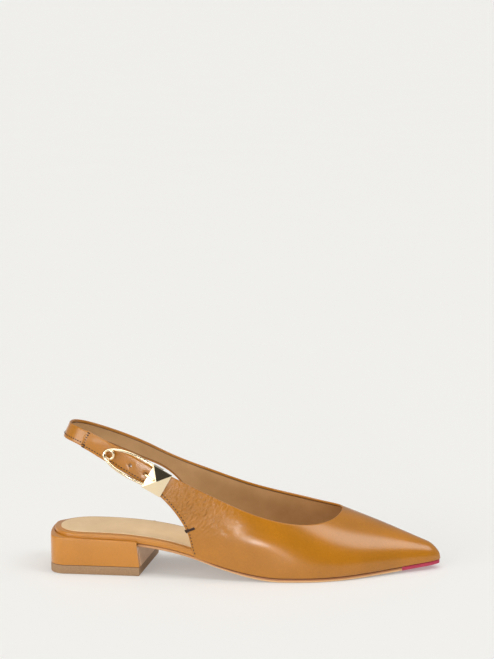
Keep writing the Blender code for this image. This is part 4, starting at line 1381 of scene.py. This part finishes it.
def make_heel():
    def under_seat(x):
        return sole_underside(x) - GAP

    def seat_depth(x):
        return RIM_AT_BACK

    rings = []
    for inset, raised in ((1.0, 0.0), (0.3, 0.3), (0.0, 1.0)):
        z = LIFT_THICKNESS + LIFT_JOINT + raised * COVER_EDGE
        rings.append([(x, y, z) for x, y in heel_plan(BREAST_LEAN, inset * COVER_EDGE)])
    for turn in np.radians([0.0, 22.5, 45.0, 67.5, 90.0]):
        plan = heel_plan(0.0, RIM_ROUND * (1.0 - math.cos(turn)))
        rings.append([(x, y, rim_height(x) - RIM_ROUND * (1.0 - math.sin(turn))) for x, y in plan])
    block = outward(loft("heel_cover", rings))
    hold = LAST.grown(SEAT_CLEARANCE)
    back, _ = hold.ends()
    seat = outward(layer("seat", hold, under_seat, seat_depth, 0.5 * GAP,
                         back + 0.00005, 2.0 * HEEL_FRONT, 160))
    finished("heel_cover", cut(block, seat), CALF_PAINTED_LIGHTER, ("heel_block",), sharp=40.0)
    rings = []
    for z, inset in ((0.0, 0.0006), (0.0002, 0.0002), (0.0007, 0.0), (LIFT_THICKNESS - 0.0004, 0.0),
                     (LIFT_THICKNESS - 0.0001, 0.0001), (LIFT_THICKNESS, 0.0004)):
        rings.append([(x, y, z) for x, y in heel_plan(BREAST_LEAN, inset)])
    lift = loft("top_lift_rubber", rings)
    finished("top_lift_rubber", lift, RUBBER, ("top_lift",), sharp=50.0)


def make_breast_panel():
    """Sole leather pasted on the heel's breast in two halves that meet in a fine joint."""
    base = LIFT_THICKNESS + 0.0003
    top = float(sole_underside(HEEL_FRONT)) - GAP
    for name, start, end in (("breast_panel_outer", BREAST_PANEL_SIDE - HEEL_OUTER_FRONT, 0.0022),
                             ("breast_panel_inner", 0.0024, HEEL_INNER_FRONT - BREAST_PANEL_SIDE)):
        rings = []
        for y in np.linspace(start, end, 7):
            across = (y + HEEL_OUTER_FRONT) / (HEEL_OUTER_FRONT + HEEL_INNER_FRONT) - 0.5
            face = HEEL_FRONT + BREAST_SKEW * across
            low = face + BREAST_LEAN
            rings.append([(low, y, base), (low + BREAST_PANEL, y, base),
                          (face + BREAST_PANEL, y, top), (face, y, top)])
        finished(name, outward(loft(name, rings)), PANEL_PAINTED_LIGHTER, (), sharp=30.0)


def arm_path(offset, count):
    """An arm: places along the strap and away from its middle, from the head to the coil."""
    coil = 0.5 * (COIL_DIAMETER - WIRE)
    leave = math.radians(ARM_LEAVE_DEGREES)
    near = np.array([0.5 * HEAD_LENGTH - ARM_IN_HEAD, offset])
    touch = np.array([COIL_FROM_HEAD + coil * math.cos(leave), coil * math.sin(leave)])
    reach = touch[0] - near[0]
    bowed = near + np.array([ARM_BOW_PLACE * reach, ARM_BOW])
    drawn = touch + ARM_LEAVE_PULL * reach * np.array([-math.sin(leave), math.cos(leave)])
    return [bend(t, near, bowed, drawn, touch) for t in np.linspace(0.0, 1.0, count)]


def frame_path():
    """The frame's wire: upper arm, one turn and a third of the coil, lower arm."""
    coil = 0.5 * (COIL_DIAMETER - WIRE)
    leave = math.radians(ARM_LEAVE_DEGREES)
    swept = 2.0 * math.pi + 2.0 * leave
    lift = (WIRE + 2.0 * GAP) * swept / (2.0 * math.pi)
    level = 0.5 * STRAP_END_THICKNESS + GAP + 0.5 * WIRE
    upper, lower = arm_path(UPPER_ARM_OFFSET, 60), arm_path(LOWER_ARM_OFFSET, 60)
    path = [STRAP.point(along, spread, level) for along, spread in upper[:-1]]
    for share in np.linspace(0.0, 1.0, 140):
        angle = leave - swept * share
        along = COIL_FROM_HEAD + coil * math.cos(angle)
        path.append(STRAP.point(along, coil * math.sin(angle), level + lift * share))
    for k in range(len(lower) - 2, -1, -1):
        along, spread = lower[k]
        settle = lift * float(ease(k / (len(lower) - 1), 0.25, 1.0))
        path.append(STRAP.point(along, -spread, level + settle))
    path = np.array(path)
    # drawn wire runs without kinks
    for _ in range(12):
        path[1:-1] = 0.25 * path[:-2] + 0.5 * path[1:-1] + 0.25 * path[2:]
    return path


def make_buckle():
    away = np.array([0.0, OUTER, 0.0])
    path = [(point, away) for point in frame_path()]
    mesh = grown(WIRES, path, Wire=WIRE, Spacing=WIRE_STEP, Material=GOLD)
    finished("buckle_wire", mesh, GOLD, ("buckle_frame",), sharp=60.0)
    middle, forward, across, outward_way = STRAP.frame(0.0)

    def at(along, up, out):
        return middle + forward * along + across * up + outward_way * out

    half_length, half_width = 0.5 * HEAD_LENGTH, 0.5 * HEAD_WIDTH
    inner = 0.5 * STRAP_END_THICKNESS + GAP
    roof = inner + HEAD_EDGE
    floor = -inner - HEAD_EDGE
    corners = [(-1, -1), (1, -1), (1, 1), (-1, 1)]
    points = [at(a * half_length, b * half_width, floor) for a, b in corners]
    points += [at(a * half_length, b * half_width, roof) for a, b in corners]
    points.append(at(0.0, 0.0, inner + HEAD_HEIGHT))
    faces = [(3, 2, 1, 0)]
    faces += [(k, (k + 1) % 4, 4 + (k + 1) % 4, 4 + k) for k in range(4)]
    faces += [(4 + k, 4 + (k + 1) % 4, 8) for k in range(4)]
    head = outward(mesh_of("buckle_stud", points, faces))
    head = applied(head, "BEVEL", width=STUD_SOFT_EDGE, segments=3, limit_method="ANGLE",
                   angle_limit=math.radians(12.0))
    tunnel, wide, deep = half_width - HEAD_CHEEK, 2.0 * half_width, 2.0 * inner + HEAD_EDGE
    front = [(-wide, -deep), (wide, -deep), (wide, inner), (-wide, inner)]
    step = [(-wide, -deep), (wide, -deep), (wide, inner), (tunnel, inner),
            (tunnel, -inner), (-tunnel, -inner), (-tunnel, inner), (-wide, inner)]
    back = [(-tunnel, -inner), (tunnel, -inner), (tunnel, inner), (-tunnel, inner)]
    points = [at(along, up, out)
              for along, ring in ((-HEAD_LENGTH, front), (0.0, step), (HEAD_LENGTH, back))
              for up, out in ring]
    faces = [(3, 2, 1, 0), (0, 1, 5, 4), (1, 2, 6, 5), (0, 4, 11, 3), (4, 5, 6, 7, 8, 9, 10, 11),
             (3, 11, 10, 15, 14, 7, 6, 2), (9, 8, 13, 12), (8, 7, 14, 13), (9, 12, 15, 10),
             (12, 13, 14, 15)]
    head = cut(head, outward(mesh_of("head_cutter", points, faces)))
    finished("buckle_stud", head, GOLD, ("buckle_head",), sharp=9.0)
    rise = HEAD_HEIGHT - HEAD_EDGE
    clear = 0.5 * PRONG * math.hypot(1.0, rise / half_length)
    path = []
    for along in np.linspace(0.3 * half_length, half_length, 12):
        path.append(at(along, 0.0, roof + rise * (1.0 - along / half_length) + clear))
    bend = HOLE_FROM_HEAD - half_length
    for angle in np.linspace(0.0, 0.5 * math.pi, 14)[1:]:
        drop = bend * (1.0 - math.cos(angle))
        path.append(at(half_length + bend * math.sin(angle), 0.0, roof + clear - drop))
    for out in np.linspace(roof + clear - bend, -0.5 * STRAP_END_THICKNESS, 6)[1:]:
        path.append(at(HOLE_FROM_HEAD, 0.0, out))
    path = [(point, away) for point in path]
    mesh = grown(WIRES, path, Wire=PRONG, Spacing=PRONG_STEP, Material=GOLD)
    finished("buckle_prong", mesh, GOLD, ("prong",), sharp=60.0)


def make_stitches(upper, end):
    first = VAMP_ROWS + FEATHER_COLUMNS + 2
    for name, side in (("stitches_outer_quarter", OUTER), ("stitches_sling", INNER)):
        sew(name, upper.line(side, first, len(upper.grids[side]) - 8, STITCH_INSET))
    sew("stitches_strap_end", end.line(OUTER, 12, END_ROWS - 2, STITCH_INSET - 0.0004))
    along = SEAM - SEAM_STITCHES_BEFORE_SEAM
    half = strap_half_width(along) - SEAM_STITCHES_INSET
    level = 0.5 * STRAP_END_THICKNESS + 0.0002
    facing = STRAP.frame(along)[3]
    path = [(STRAP.point(along, up, level), facing) for up in np.linspace(-half, half, 14)]
    sew("stitches_seam", path, Pitch=SEAM_PITCH, Stitch_Length=SEAM_STITCH, Thread=SEAM_THREAD,
        Turn=0.5 * math.pi)
    path = [upper.over(BARTACK_X + BARTACK_LONG * share, BARTACK_Z + BARTACK_RISE * share, OUTER)
            for share in np.linspace(0.0, 1.0, 12)]
    sew("bartack", path, Pitch=BARTACK_PITCH, Stitch_Length=BARTACK_STITCH, Thread=BARTACK_THREAD,
        Turn=0.5 * math.pi + BARTACK_SLANT)


upper_leather = make_upper()
strap_end_leather = make_strap_end()
make_sole()
make_insole()
make_heel()
make_breast_panel()
make_buckle()
make_stitches(upper_leather, strap_end_leather)


# Floor, light and camera
def make_floor():
    """A plain pale floor: a matt acrylic sheet with a little light from below, which thins the
    shadows."""
    made, tree, shader = new_material("backlit_acrylic_floor", "#C9C9C7")
    shader.inputs["Emission Color"].default_value = linear("#F6F5F3")
    shader.inputs["Emission Strength"].default_value = 0.31
    place = add(tree, "ShaderNodeTexCoord").outputs["Object"]
    haze = add(tree, "ShaderNodeTexNoise", {"Vector": place, "Scale": 6.0, "Detail": 2.0})
    rough = add(tree, "ShaderNodeMapRange",
                {"Value": haze.outputs["Fac"], "To Min": 0.55, "To Max": 0.65})
    tree.links.new(rough.outputs["Result"], shader.inputs["Roughness"])
    shader.inputs["Specular IOR Level"].default_value = 0.2
    reach = 40.0
    corners = [(-reach, -reach, 0), (reach, -reach, 0), (reach, reach, 0), (-reach, reach, 0)]
    mesh = mesh_of("floor", corners, [(0, 1, 2, 3)])
    mesh.materials.append(made)
    floor = placed("floor", mesh)
    floor.location.z = -0.00005


ROOM_FRONT, ROOM_BACK = 0.05, 0.36
SOFT_BOXES = (
    # direction, brightness, half angle of its core, half angle where it has faded
    ((-0.37, -0.66, 0.65), 1.8, 14.0, 24.0),
    ((-0.84, -0.49, 0.22), 4.4, 8.0, 19.0),
    ((0.67, -0.17, 0.72), 4.2, 9.0, 20.0),
    ((0.00, 0.00, 1.00), 2.85, 12.0, 28.0),
    ((-0.46, -0.86, 0.21), 4.0, 5.0, 12.0),
    ((-0.07, -1.00, 0.03), 22.0, 3.0, 8.0),
)


def make_world():
    """The studio: a soft box overhead, one at the right, two at the left and two low ones in
    front, pale walls behind, and the dark of the room round the camera between the boxes."""
    world = bpy.data.worlds.new("studio")
    bpy.context.scene.world = world
    world.use_nodes = True
    tree = world.node_tree
    tree.nodes.clear()
    way = add(tree, "ShaderNodeTexCoord").outputs["Generated"]
    parts = add(tree, "ShaderNodeSeparateXYZ", {"Vector": way}).outputs
    level = add(tree, "ShaderNodeMapRange",
                {"Value": parts["Y"], "From Min": -0.75, "From Max": 0.25, "To Min": ROOM_FRONT,
                 "To Max": ROOM_BACK}).outputs["Result"]
    for direction, bright, core, faded in SOFT_BOXES:
        toward = add(tree, "ShaderNodeVectorMath",
                     {0: way, 1: tuple(unit(direction))}, operation="DOT_PRODUCT")
        lit = add(tree, "ShaderNodeMapRange",
                  {"Value": toward.outputs["Value"], "From Min": math.cos(math.radians(faded)),
                   "From Max": math.cos(math.radians(core)), "To Min": 0.0, "To Max": bright},
                  interpolation_type="SMOOTHSTEP").outputs["Result"]
        level = add(tree, "ShaderNodeMath", {0: level, 1: lit}, operation="ADD").outputs[0]
    colour = add(tree, "ShaderNodeBackground", {"Color": linear("#FBFAF8"), "Strength": level})
    add(tree, "ShaderNodeOutputWorld", {"Surface": colour.outputs[0]})


make_floor()
make_world()

camera_data = bpy.data.cameras.new("camera")
camera_data.sensor_width = 36.0
camera_data.lens = 112.12
camera_data.clip_end = 100.0
camera = placed("camera", camera_data)
camera.location = (0.15732, -1.36116, 0.40932)
camera.rotation_euler = (math.radians(90.0 - 10.1669), 0.0, math.radians(2.3812))
bpy.context.scene.camera = camera
bpy.context.scene.view_settings.view_transform = "Standard"
